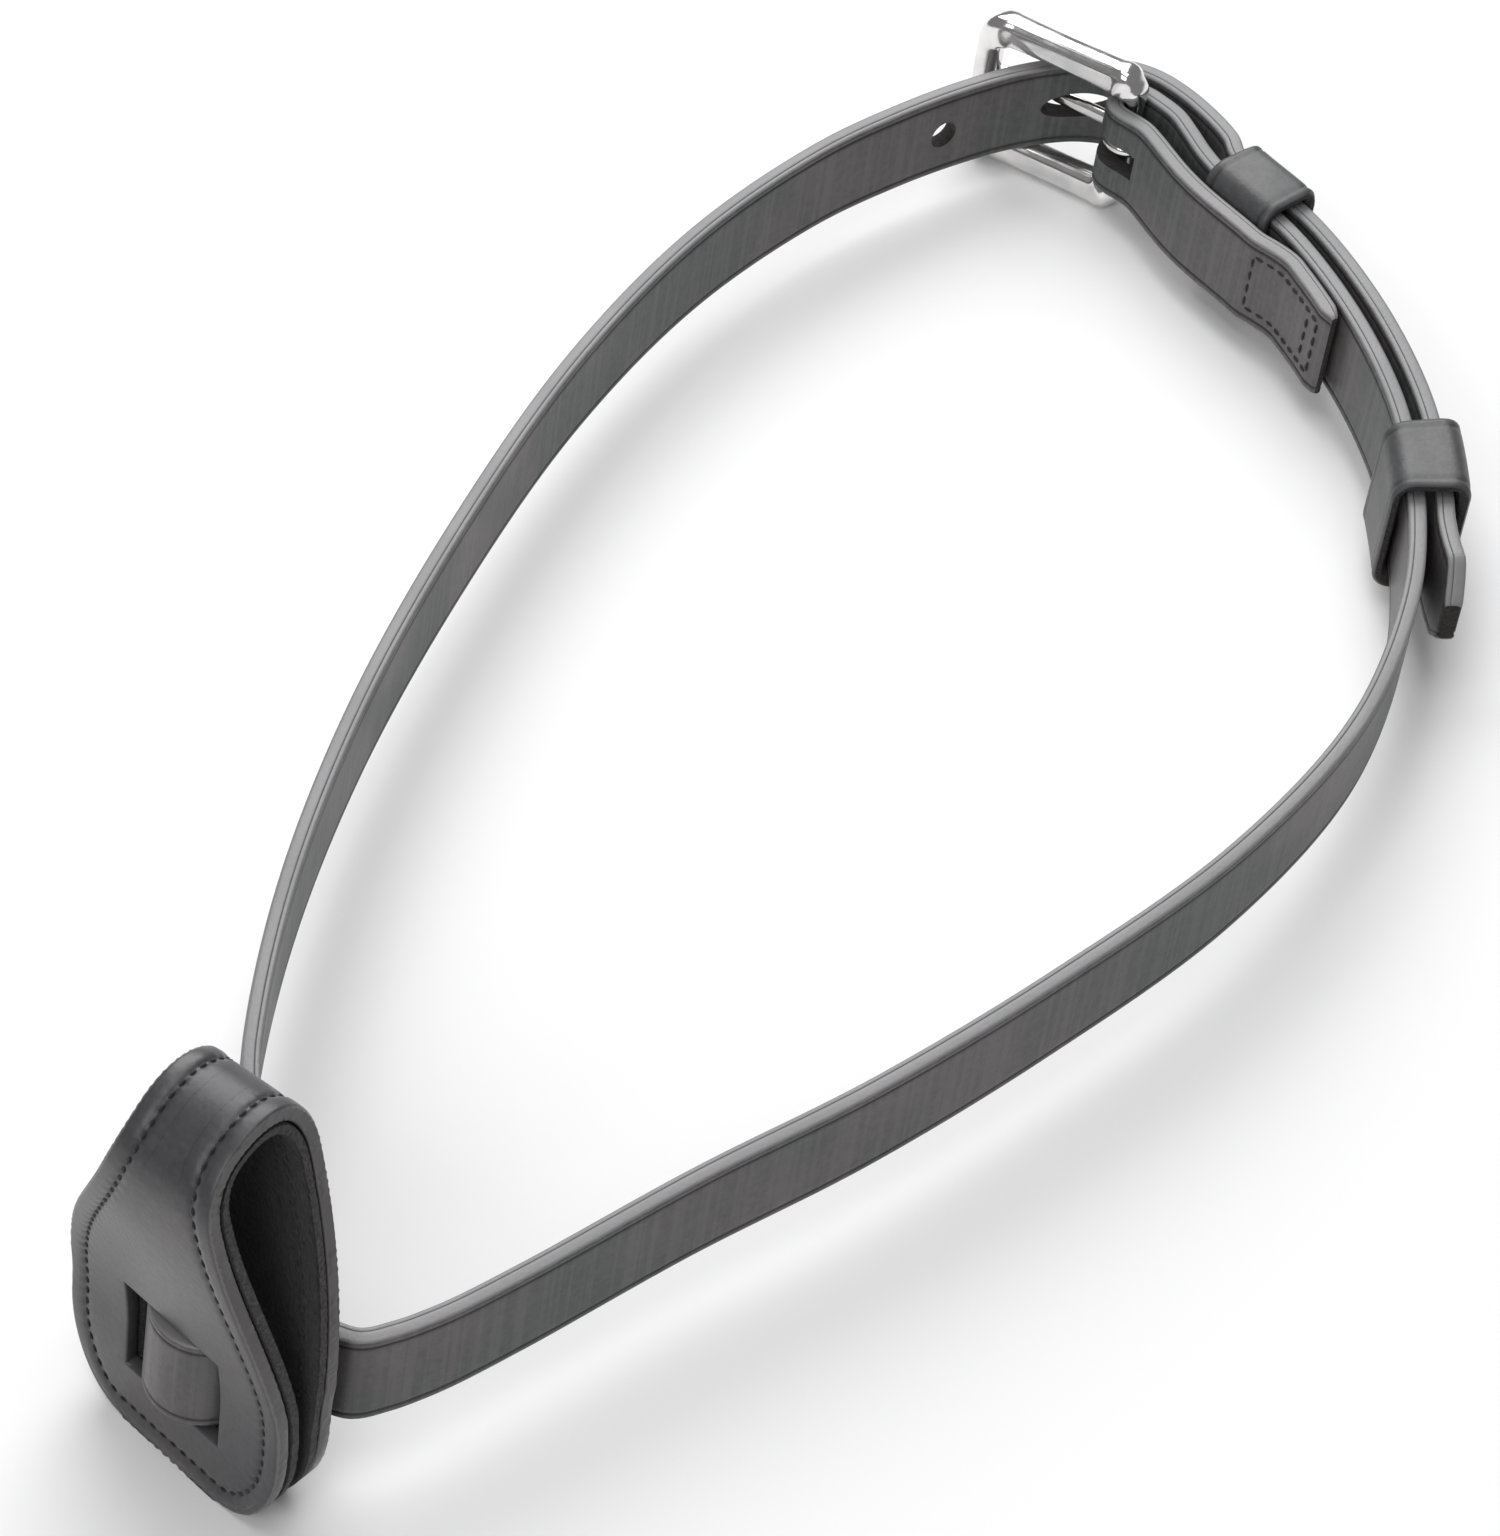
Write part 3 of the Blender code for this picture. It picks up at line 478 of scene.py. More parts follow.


def makeLeather(name, look, useLie):
    made, tree, shader = startMaterial(name, look["rough"], coat=look["coat"], specular=look["specular"])
    coords = addNode(tree, "ShaderNodeTexCoord")
    place = coords.outputs["Object"]
    lie = coords.outputs["UV"] if useLie else place
    grain = useGroup(tree, "grain", place, Pebble=look["pebble"], Depth=look["grainDepth"])
    tone = useGroup(tree, "tone", place, Warm=look["warm"], Cool=look["cool"], Patch=look["patch"])
    stretch = useGroup(tree, "stretch", lie, Amount=look["stretch"])
    raggedEdge = useGroup(tree, "raggedEdge", place, Edge=attributeNode(tree, "edgeBand"))
    streaks = mathNode(tree, "MULTIPLY", stretch.outputs["Streak"], look["streak"])
    faceColour = mixColour(tree, streaks, tone.outputs["Color"], look["streakColour"])
    # edge colour over the edge mask: a painted highlight on strap and loop edges, partly rubbed wear
    colour = mixColour(tree, raggedEdge.outputs["Mask"], faceColour, look["edgeColour"])
    # painted shade: the crease attribute darkens grooves and recesses towards the near-black shade colour
    grooveShades = mathNode(tree, "MULTIPLY", attributeNode(tree, "crease"), look["grooveShade"])
    colour = mixColour(tree, grooveShades, colour, grooveShadeColour)
    tree.links.new(colour, shader.inputs["Base Color"])
    rough = mathNode(tree, "ADD", mathNode(tree, "MULTIPLY", tone.outputs["Sheen"], 0.08), look["rough"])
    rough = weighted(tree, rough, 1.0, grain.outputs["Pores"], 0.12)
    rough = weighted(tree, rough, 1.0, raggedEdge.outputs["Mask"], look["edgeRough"] - look["rough"], clamp=True)
    tree.links.new(rough, shader.inputs["Roughness"])
    height = weighted(tree, grain.outputs["Height"], 1.0, stretch.outputs["Height"], 1.6)
    bumpInto(tree, shader, height, look["bump"])
    return made


# edgeColour paints a highlight on the rounded edges, partly rubbed wear; the crease strength sets painted
# shade in the grooves
strapLook = {
    "rough": 0.42, "coat": 0.12, "specular": 0.5, "pebble": 1900.0, "grainDepth": 0.5, "patch": 55.0,
    "warm": (0.088, 0.079, 0.08), "cool": (0.066, 0.073, 0.072),
    "streak": 0.5, "streakColour": (0.125, 0.118, 0.118),
    "stretch": 0.8, "edgeColour": (0.20, 0.20, 0.205), "edgeRough": 0.36, "grooveShade": 0.85, "bump": 0.00006,
}
# the loop's lighter edgeColour is a painted highlight along its rim and raised bead, partly rubbed wear
loopLook = dict(strapLook, warm=(0.052, 0.047, 0.05), cool=(0.036, 0.036, 0.041), rough=0.34, coat=0.22,
                patch=34.0, stretch=0.15, streak=0.05, edgeColour=(0.115, 0.11, 0.112), pebble=1500.0,
                bump=0.00005)
keeperLook = dict(strapLook, warm=(0.062, 0.062, 0.065), cool=(0.055, 0.058, 0.06), stretch=0.3, streak=0.12,
                  edgeColour=(0.05, 0.048, 0.048), edgeRough=0.6)
strapLeather = makeLeather("strapLeather", strapLook, True)
loopLeather = makeLeather("loopLeather", loopLook, False)
keeperLeather = makeLeather("keeperLeather", keeperLook, True)


def makeRawEdge(name, dark, light, scale, depth):
    made, tree, shader = startMaterial(name, 0.85, specular=0.25, sheen=0.2)
    place = addNode(tree, "ShaderNodeTexCoord").outputs["Object"]
    fibre = useGroup(tree, "fibre", place, Scale=scale)
    tree.links.new(mixColour(tree, fibre.outputs["Tone"], dark, light), shader.inputs["Base Color"])
    bumpInto(tree, shader, fibre.outputs["Height"], depth)
    return made


feltLook = {"dark": (0.003, 0.0025, 0.0025), "light": (0.014, 0.012, 0.012), "scale": 1800.0, "depth": 0.0005}
feltEdgeLook = {"dark": (0.02, 0.018, 0.019), "light": (0.095, 0.088, 0.09), "scale": 2300.0, "depth": 0.0005}
cutLook = {"dark": (0.006, 0.005, 0.005), "light": (0.034, 0.027, 0.025), "scale": 2600.0, "depth": 0.0004}
felt = makeRawEdge("blackFelt", **feltLook)
feltEdge = makeRawEdge("feltEdge", **feltEdgeLook)
cutLeather = makeRawEdge("cutLeather", **cutLook)


threadLook = {"dark": (0.006, 0.006, 0.007), "light": (0.03, 0.029, 0.032), "scale": 4200.0, "depth": 0.00015}


def makeThread():
    made, tree, shader = startMaterial("waxedThread", 0.55, sheen=0.15, specular=0.4)
    place = addNode(tree, "ShaderNodeTexCoord").outputs["Object"]
    fibre = useGroup(tree, "fibre", place, Scale=threadLook["scale"])
    colour = mixColour(tree, fibre.outputs["Tone"], threadLook["dark"], threadLook["light"])
    tree.links.new(colour, shader.inputs["Base Color"])
    bumpInto(tree, shader, fibre.outputs["Height"], threadLook["depth"])
    return made


steelLook = {
    "clear": (0.8, 0.79, 0.785), "hazy": (0.71, 0.7, 0.705), "rough": 0.11, "hazeRough": 0.1,
    "scratch": 0.000006,
}


def makeSteel():
    made, tree, shader = startMaterial("polishedSteel", 0.14, metallic=1.0)
    place = addNode(tree, "ShaderNodeTexCoord").outputs["Object"]
    marks = useGroup(tree, "scratch", place)
    colour = mixColour(tree, marks.outputs["Haze"], steelLook["clear"], steelLook["hazy"])
    tree.links.new(colour, shader.inputs["Base Color"])
    hazy = mathNode(tree, "MULTIPLY", marks.outputs["Haze"], steelLook["hazeRough"])
    rough = mathNode(tree, "ADD", hazy, steelLook["rough"])
    tree.links.new(rough, shader.inputs["Roughness"])
    bumpInto(tree, shader, marks.outputs["Height"], steelLook["scratch"])
    return made


waxedThread = makeThread()
polishedSteel = makeSteel()
print("materials ready")


# the strap, one long strip of leather

def strapRing(halfThick, halfWidth):
    s = strapShape
    r = min(s["edgeRadius"], halfThick * 0.75)
    crease = halfWidth - s["creaseInset"]
    deep = s["creaseDepth"]
    flat = halfThick - r
    # the fourth value of each point is painted shade, darkest in the pressed crease groove
    down = [(halfWidth - r, 0, 0.35, 0), (crease + 0.3, 0, 0, 0.1), (crease + 0.14, 0.5, 0, 0.7),
            (crease, 1, 0, 1), (crease - 0.14, 0.5, 0, 0.7), (crease - 0.3, 0, 0, 0.1)]
    face = down + [((crease - 0.7) * k / 4, 0, 0, 0) for k in (4, 2.6, 1.2, 0)]
    face = face + [(-up, dip, edge, dark) for up, dip, edge, dark in reversed(face[:-1])]
    ring = [(halfThick - deep * dip, up, edge, dark) for up, dip, edge, dark in face]
    seam = -0.55  # where the two bonded layers of the leather show as a fine notched line, darkened with painted shade
    low = []
    for k in (0.98, 0.5, 0, -0.4, seam, -0.7, -0.98):
        notch, dark = (0.07, 0.85) if k == seam else (0, 0)
        low.append((flat * k, -halfWidth - 0.05 * (1 - k * k) + notch, 1, dark))
    corner = [(flat + r * math.cos(a), -halfWidth + r + r * math.sin(a), e, 0)
              for a, e in ((-0.4, 0.5), (-0.8, 0.8), (-1.2, 1))]
    ring += corner + low + [(-a, up, e, d) for a, up, e, d in reversed(corner)]
    ring += [(deep * dip - halfThick, -up, edge, dark) for up, dip, edge, dark in face]
    ring += [(-a, -up, e, d) for a, up, e, d in corner]
    ring += [(a, -up, e, d) for a, up, e, d in reversed(low)]
    ring += [(a, -up, e, d) for a, up, e, d in reversed(corner)]
    return np.array(ring[::-1])


def strapRows():
    line = np.array(strapLine())
    at = lengthsOf(line)
    total = at[-1]
    wanted = [0.0, 0.15, 0.4]
    wanted += list(np.arange(0.8, total - 0.8, strapShape["rowStep"]))
    wanted += [total - 0.5, total - 0.25, total - 0.1, total]
    x = np.interp(wanted, at, line[:, 0])
    y = np.interp(wanted, at, line[:, 1])
    return np.stack([x, y], 1), np.array(wanted)


def buildStrap():
    s = strapShape
    line, at = strapRows()
    turn = tangentsOf(line)
    total = at[-1]
    folds = [(chance.uniform(60, total - 40), chance.uniform(0.35, 0.9), chance.uniform(0.3, 1.0),
              chance.choice((-1, 1))) for _ in range(s["wrinkles"])]
    where, wide, deep, side = (np.array(v) for v in zip(*folds))
    points, bands, grooveShades = [], [], []
    for (x, y), (tx, ty), here in zip(line, turn, at):
        skive = min(here / s["skiveLength"], 1.0)
        halfThick = s["thick"] / 2 * (s["skiveThick"] + (1 - s["skiveThick"]) * skive)
        tip = min((total - here) / s["tipLength"], 1.0)
        halfWidth = s["width"] / 2 * (s["tipNarrow"] + (1 - s["tipNarrow"]) * tip)
        ends = min(here, total - here)
        if ends < 0.5:
            halfWidth -= 0.22 * (1 - ends / 0.5) ** 2
            halfThick -= 0.18 * (1 - ends / 0.5) ** 2
        ring = strapRing(halfThick, halfWidth)
        ripple = s["wrinkle"] * np.sum(deep * np.exp(-((here - where) / wide) ** 2) * (side > 0))
        counter = s["wrinkle"] * np.sum(deep * np.exp(-((here - where) / wide) ** 2) * (side < 0))
        face = 1 - np.clip(np.abs(ring[:, 1]) / (halfWidth - 1.2), 0, 1) ** 4
        aside = ring[:, 0] - np.where(ring[:, 0] > 0, ripple, -counter) * face
        z = midHeight(x) + ring[:, 1]
        px = x - ty * aside + math.tan(math.radians(s["lean"])) * ring[:, 1]
        py = y + tx * aside
        points.append(np.stack([px, py, z], 1))
        bands.append(ring[:, 2])
        grooveShades.append(ring[:, 3])
    sides = len(ring)
    rows = len(line)
    faces = gridFaces(rows, sides).tolist()
    around = np.concatenate([[0.0], np.cumsum(np.hypot(*(np.roll(ring[:, :2], -1, 0) - ring[:, :2]).T))])
    uv = np.empty((rows - 1, sides, 4, 2))
    uv[..., 0, 0] = uv[..., 1, 0] = at[:-1, None]
    uv[..., 2, 0] = uv[..., 3, 0] = at[1:, None]
    uv[..., 0, 1] = uv[..., 3, 1] = around[:-1]
    uv[..., 1, 1] = uv[..., 2, 1] = around[1:]
    uv = uv.reshape(-1, 2)
    capEnds(faces, rows, sides)
    uv = np.concatenate([uv, np.zeros((2 * sides, 2))])
    indices = [0] * (len(faces) - 2) + [1, 1]
    marks = {"edgeBand": np.concatenate(bands), "crease": np.concatenate(grooveShades)}
    strap = makePiece("strapLeatherPiece", np.concatenate(points), faces, [strapLeather, cutLeather],
                      "strap_body", ("strap",), uv, marks, indices)
    punchStrap(strap)
    return strap


def tongueLine():
    b = buckleShape
    heel = b["heel"]
    eye = b["heelBar"] + b["clear"] + b["tongue"]
    ring = arc(heel, eye, 100, 360, 13)
    along = (math.cos(math.radians(b["turn"])), math.sin(math.radians(b["turn"])))
    outward = (along[1], -along[0])
    front = shifted(heel, along, b["length"])
    over = b["front"][1] + 0.3 + b["tongue"]
    shank = [
        (heel[0] + eye, heel[1] + 3.5), (heel[0] + eye - 0.2, heel[1] + 7.5),
        (heel[0] + eye - 0.6, heel[1] + 12.0),
        shifted(shifted(front, along, -4.5), outward, over + 0.2), shifted(front, outward, over - 0.05),
        shifted(shifted(front, along, 2.6), outward, over - 0.7),
    ]
    return ring + shank


def usedHole(line):
    at = lengthsOf(line)
    shank = np.array(smoothLine(tongueLine()[-6:-1]))
    later = np.array(line[len(line) // 2:])
    gap = np.linalg.norm(later[:, None] - shank[None], axis=2).min(1)
    return at[len(line) // 2 + int(np.argmin(gap))]


def punchStrap(strap):
    s = strapShape
    line = strapLine()
    used = usedHole(line)
    points, faces = [], []
    holes = [(used + s["wornShift"], s["holeRadius"] * s["wornHole"])]
    holes += [(used + k * s["holePitch"], s["holeRadius"]) for k in (-1, 1, 2, 3)]
    sides = 28
    for at, halfLong in holes:
        (cx, cy), (tx, ty) = atLength(line, at)
        start = len(points)
        for depth, grow in ((-2.2, 1.35), (-1.1, 1.1), (-0.8, 1.0), (0.8, 1.0), (1.1, 1.1), (2.2, 1.35)):
            for j in range(sides):
                a = 2 * math.pi * j / sides
                along = (halfLong + s["holeRadius"] * (grow - 1)) * math.cos(a)
                up = s["holeRadius"] * grow * math.sin(a)
                px, py = cx + tx * along - ty * depth, cy + ty * along + tx * depth
                points.append(leaned(px, py, midHeight(cx) + up))
        for f in gridFaces(6, sides).tolist():
            faces.append([start + v for v in f][::-1])
        faces.append([start + j for j in range(sides)])
        faces.append([start + 5 * sides + j for j in range(sides)][::-1])
    b = buckleShape
    heel = b["heel"]
    reach = b["heelBar"] + s["thick"] + 4.0
    start = len(points)
    low = midHeight(heel[0]) - b["slotTall"] / 2
    back, front = -b["slotBack"], b["slotFront"]
    for z in (low, low + b["slotTall"]):
        for dx, dy in ((-reach, back), (reach, back), (reach, front), (-reach, front)):
            points.append(leaned(heel[0] + dx, heel[1] + dy, z))
    for f in ((3, 2, 1, 0), (4, 5, 6, 7), (0, 1, 5, 4), (1, 2, 6, 5), (2, 3, 7, 6), (3, 0, 4, 7)):
        faces.append([start + v for v in f])
    mesh = bpy.data.meshes.new("punch")
    mesh.from_pydata(((np.array(points) - (middle[0], middle[1], 0)) * mm).tolist(), [], faces)
    mesh.materials.append(strapLeather)
    mesh.materials.append(cutLeather)
    mesh.polygons.foreach_set("material_index", [1] * len(mesh.polygons))
    punch = bpy.data.objects.new("punch", mesh)
    bpy.context.scene.collection.objects.link(punch)
    step = strap.modifiers.new("punch", "BOOLEAN")
    step.operation = "DIFFERENCE"
    step.solver = "EXACT"
    step.use_self = True
    step.object = punch
    graph = bpy.context.evaluated_depsgraph_get()
    fresh = bpy.data.meshes.new_from_object(strap.evaluated_get(graph))
    strap.modifiers.clear()
    strap.data = fresh
    bpy.data.objects.remove(punch)
    fresh.polygons.foreach_set("use_smooth", [True] * len(fresh.polygons))
    fresh.set_sharp_from_angle(angle=math.radians(35))


buildStrap()
print("strap ready")


# the folded loop, outer leather and felt lining

def halfDepth(tall):
    s = loopShape
    share = (tall - s["straightFoot"]) / (s["tall"] - s["foldRadius"] - s["straightFoot"])
    return s["footHalfDepth"] + (s["foldRadius"] - s["footHalfDepth"]) * ease(share)


def foldProfile():
    s = loopShape
    centre = s["tall"] - s["foldRadius"]
    side = [i * centre / 120 for i in range(120)]
    return np.array([(halfDepth(t), t) for t in side] + arc((0.0, centre), s["foldRadius"], 0, 180, 90)
                    + [(-halfDepth(t), t) for t in reversed(side)])


profile = foldProfile()
profileAt = lengthsOf(profile)
profileTurn = tangentsOf(profile)
profileLong = profileAt[-1]


def patternHalf(at):
    s = loopShape
    fromFold = abs(at - profileLong / 2)
    toFoot = profileLong / 2 - fromFold
    wide = s["neck"] + (s["halfWidth"] - s["neck"]) * ease((fromFold - s["neckHold"]) / s["neckReach"])
    if toFoot < s["footTaper"]:
        wide -= s["footCorner"] * (1 - math.sqrt(max(1 - (1 - toFoot / s["footTaper"]) ** 2, 0.0)))
    return wide


def onLoop(at, across, depth):
    out = [np.interp(at, profileAt, profile[:, k]) for k in (0, 1)]
    tx, ty = (float(np.interp(at, profileAt, profileTurn[:, k])) for k in (0, 1))
    size = math.hypot(tx, ty)
    return loopPoint(across, out[0] - ty / size * depth, out[1] + tx / size * depth)


def patternOutline():
    steps = [profileLong / 2 * (1 - math.cos(math.pi * i / 600)) for i in range(601)]
    side = [(t, patternHalf(t)) for t in steps]
    foot = [(profileLong, patternHalf(profileLong) * (1 - k / 6)) for k in range(1, 12)]
    other = [(t, -w) for t, w in reversed(side)]
    start = [(0.0, -patternHalf(0.0) * (1 - k / 6)) for k in range(1, 12)]
    return np.array(side + foot + other + start)


outline = patternOutline()


def seamLine(inset, step):
    closed = np.vstack([outline, outline[:1]])
    turn = np.roll(outline, -1, 0) - np.roll(outline, 1, 0)
    turn /= np.linalg.norm(turn, axis=1)[:, None]
    inward = np.stack([turn[:, 1], -turn[:, 0]], 1)
    moved = outline + inward * inset
    gap = np.linalg.norm(moved[:, None] - closed[None, ::3], axis=2).min(1)
    moved = moved[gap > inset - 0.12]
    moved = np.vstack([moved, moved[:1]])
    at = lengthsOf(moved)
    count = round(at[-1] / step)
    wanted = np.arange(count) * at[-1] / count
    return np.stack([np.interp(wanted, at, moved[:, k]) for k in (0, 1)], 1), at[-1] / count


stitchLook = {"pitch": 1.75, "share": 0.78, "radius": 0.21, "sink": 0.2, "stand": 0.08}
seamFine, fineStep = seamLine(loopShape["seamInset"], stitchLook["pitch"] / 8)
stitchCount = len(seamFine) // 8


def loopGrid():
    s = loopShape
    lowAt = [np.interp(t, profile[:210, 1], profileAt[:210]) for t in (s["windowLow"], s["windowHigh"])]
    marks = [0.0, lowAt[0], lowAt[1], profileLong - lowAt[1], profileLong - lowAt[0], profileLong]
    rows = []
    for a, b in zip(marks, marks[1:]):
        count = max(2, round((b - a) / 0.45))
        inner = [a + (b - a) * k / count for k in range(count)]
        near = [a + d for d in (0.06, 0.18, 0.34)] + [b - d for d in (0.34, 0.18, 0.06)]
        rows += sorted(set([v for v in inner if v - a > 0.36 and b - v > 0.36] + near + [a]))
    rows.append(profileLong)
    return rows, marks


def buildPly(name, near, far, materials, nodes, isLeather):
    s = loopShape
    rows, marks = loopGrid()
    rim = 5.2  # the border that the edge, the seam and the crease share
    edge = [0, 0.06, 0.18, 0.34, 0.55, 0.9, 1.3, 1.7, 2.05, 2.3, 2.5, 2.7, 2.9, 3.1, 3.35, 3.7, 4.2]
    grid = []
    for at in rows:
        wide = patternHalf(at)
        half = max(min(s["windowHalf"], wide - rim), 0.3)
        fit = min(1.0, (wide - half) / rim)
        outer = [wide - e * fit for e in edge]
        gap = [outer[-1] + (half - outer[-1]) * k / 10 for k in range(1, 8)]
        lip = [half + d * fit for d in ((0.34, 0.18, 0.06) if fit == 1.0 else (0.3, 0.2, 0.1))]
        inner = [half * k / 10 for k in range(10, -1, -1)]
        right = outer + gap + lip + inner
        grid.append(right + [-v for v in reversed(right[:-1])])
    grid = np.array(grid)
    count, columns = grid.shape
    at = np.repeat(np.array(rows)[:, None], columns, 1)
    flat = np.stack([at, grid], -1).reshape(-1, 2)
    parts = np.array_split(flat, 24)  # in parts, to spare memory
    toEdge = np.concatenate([np.linalg.norm(part[:, None] - outline[None], axis=2).min(1) for part in parts])
    nearest = [np.linalg.norm(part[:, None] - seamFine[None], axis=2) for part in parts]
    toSeam = np.concatenate([n.min(1) for n in nearest])
    phase = np.concatenate([n.argmin(1) for n in nearest]) % 8 / 8.0
    lowRows = [rows.index(m) for m in marks]
    hole = np.zeros((count - 1, columns - 1), bool)
    firstCol = len(edge) + 10
    lastCol = columns - 1 - firstCol
    hole[lowRows[1]:lowRows[2], firstCol:lastCol] = True
    hole[lowRows[3]:lowRows[4], firstCol:lastCol] = True
    gapToWindow = np.full(len(flat), 9.0)
    for a, b in ((marks[1], marks[2]), (marks[3], marks[4])):
        dx = np.maximum(np.maximum(a - flat[:, 0], flat[:, 0] - b), 0)
        dy = np.maximum(np.abs(flat[:, 1]) - s["windowHalf"], 0)
        gapToWindow = np.minimum(gapToWindow, np.hypot(dx, dy))

    def roundOff(d, r):
        d = np.clip(d, 0, r)
        return r - np.sqrt(np.maximum(r * r - (r - d) ** 2, 0))

    radius = 0.5 if isLeather else 0.35
    drop = roundOff(toEdge, radius) + roundOff(gapToWindow, 0.3)
    stitch = 0.55 + 0.45 * np.cos(2 * math.pi * (phase - 0.5))
    if isLeather:
        seam = 0.2 * np.exp(-(toSeam / 0.42) ** 2) * (0.75 + 0.25 * stitch)
        seam = seam + 0.10 * np.exp(-(toSeam / 0.9) ** 2) * stitch
        outside = np.clip((s["seamInset"] - toEdge) / s["seamInset"], 0, 1)
        dome = 0.16 * np.sin(math.pi * np.clip(toEdge / s["seamInset"], 0, 1)) * (outside > 0)
        bead = 0.07 * np.exp(-((toEdge - 1.05) / 0.14) ** 2)
        nearDepth = near + drop + seam - dome * 0.8 + bead
        farDepth = far - drop
    else:
        fuzz = np.array([chance.uniform(-0.05, 0.05) for _ in flat])
        nearDepth = near + drop
        farDepth = far - drop - 0.25 * np.exp(-(toSeam / 0.5) ** 2) * stitch + fuzz * (toEdge > 0.3)
    points = [onLoop(a, c, d) for (a, c), d in zip(flat, nearDepth)]
    points += [onLoop(a, c, d) for (a, c), d in zip(flat, farDepth)]
    total = len(flat)
    faces, indices = [], []
    for i in range(count - 1):
        for j in range(columns - 1):
            if hole[i, j]:
                continue
            a, b = i * columns + j, (i + 1) * columns + j
            faces.append((a, a + 1, b + 1, b))
            faces.append((a + total, b + total, b + 1 + total, a + 1 + total))
            indices += [0, 0]
            sides = (
                ((a, a + 1), i > 0 and not hole[i - 1, j]),
                ((a + 1, b + 1), j < columns - 2 and not hole[i, j + 1]),
                ((b + 1, b), i < count - 2 and not hole[i + 1, j]),
                ((b, a), j > 0 and not hole[i, j - 1]),
            )
            for (p, q), solid in sides:
                if not solid:
                    faces.append((q, p, p + total, q + total))
                    indices.append(1)
    # edge band for a painted highlight on the rounded rim and on the raised bead line, partly rubbed wear
    band = np.clip(1 - toEdge / 0.45, 0, 1) ** 0.6
    band = np.maximum(band, 0.8 * np.exp(-((toEdge - 1.05) / 0.2) ** 2)) if isLeather else band
    # painted shade in the stitch grooves on the near face
    crease = np.clip(np.exp(-(toSeam / 0.4) ** 2) * 0.9 * (0.6 + 0.4 * stitch), 0, 1)
    marks = {"edgeBand": np.tile(band, 2), "crease": np.concatenate([crease, crease * 0])}
    return makePiece(name, points, faces, materials, "loop", nodes, None, marks, indices, 50.0)


# cut-edge walls; their lighter edgeColour is a painted highlight on the rims, partly rubbed wear
loopEdgeLook = dict(loopLook, warm=(0.05, 0.046, 0.047), cool=(0.04, 0.038, 0.04),
                    edgeColour=(0.075, 0.07, 0.072), rough=0.5)
loopEdge = makeLeather("loopCutEdge", loopEdgeLook, False)
buildPly("loopOuterLeather", 0.0, loopShape["leather"], [loopLeather, loopEdge],
         ("loop_leather",), True)
feltNear = loopShape["leather"] + loopShape["gap"]
buildPly("loopFeltLining", feltNear, feltNear + loopShape["lining"], [felt, feltEdge],
         ("loop_lining",), False)
print("loop ready")


# rows of stitches

def stitchMesh(centres, normals, radius, points, faces, sides=7):
    # one stitch: a short thread that dips into the leather at both ends
    start = len(points)
    count = len(centres)
    for i, c in enumerate(centres):
        c = np.array(c)
        a = np.array(centres[max(i - 1, 0)])
        b = np.array(centres[min(i + 1, count - 1)])
        t = (b - a) / np.linalg.norm(b - a)
        n = np.array(normals[i])
        side = np.cross(t, n)
        side /= np.linalg.norm(side)
        up = np.cross(side, t)
        share = abs(2 * i / (count - 1) - 1)
        r = radius * (1 - 0.45 * share ** 3)
        for j in range(sides):
            angle = 2 * math.pi * j / sides
            points.append(c + side * math.cos(angle) * r * 1.08 + up * math.sin(angle) * r * 0.92)
    for f in gridFaces(count, sides).tolist():
        faces.append([start + v for v in f])
    faces.append([start + j for j in range(sides)][::-1])
    faces.append([start + (count - 1) * sides + j for j in range(sides)])


def loopStitches(name, surface, outwardSign, node):
    look = stitchLook
    points, faces = [], []
    for k in range(stitchCount):
        centres, normals = [], []
        for i in range(7):
            t = (i / 6 - 0.5) * look["share"] * 8 + 4
            where = k * 8 + t
            a = seamFine[int(where) % len(seamFine)]
            b = seamFine[(int(where) + 1) % len(seamFine)]
            p = a + (b - a) * (where - int(where))
            sink = look["sink"] * abs(i / 3 - 1) ** 2 * 1.6 - look["stand"] + 0.2
            here = np.array(onLoop(p[0], p[1], surface + outwardSign * sink))
            above = np.array(onLoop(p[0], p[1], surface - outwardSign))
            centres.append(here)
            normals.append((above - here) / np.linalg.norm(above - here))
        stitchMesh(centres, normals, look["radius"], points, faces)
    makePiece(name, np.array(points), faces, [waxedThread], "loop", (node,), sharp=60)


loopStitches("loopOuterStitches", 0.0, 1, "loop_edge_thread")
loopStitches("loopLiningStitches", feltNear + loopShape["lining"], -1, "loop_lining_thread")

flapSeam = {
    "inset": 2.2, "boxStart": 32.8, "boxEnd": 48.3, "crossAt": 45.8, "crossReach": 3.1,
    "pitch": 1.9, "radius": 0.22,
}


def flapPoint(at, up, front, lift):
    aside = -flapGap(at) - strapShape["thick"] / 2 - lift if front else strapShape["thick"] / 2 + lift
    p, _ = atLength(run, at, aside)
    return np.array(leaned(p[0], p[1], midHeight(p[0]) + up))


def stitchRow(a, b, front, points, faces):
    long = distance(a, b)
    count = max(1, round(long / flapSeam["pitch"]))
    for k in range(count):
        centres, normals = [], []
        for i in range(7):
            t = (k + 0.5 + (i / 6 - 0.5) * 0.78) / count
            at, up = a[0] + (b[0] - a[0]) * t, a[1] + (b[1] - a[1]) * t
            lift = 0.12 - 0.3 * abs(i / 3 - 1) ** 2
            here = flapPoint(at, up, front, lift)
            above = flapPoint(at, up, front, lift + 1)
            centres.append(here)
            normals.append((above - here) / np.linalg.norm(above - here))
        stitchMesh(centres, normals, flapSeam["radius"], points, faces)


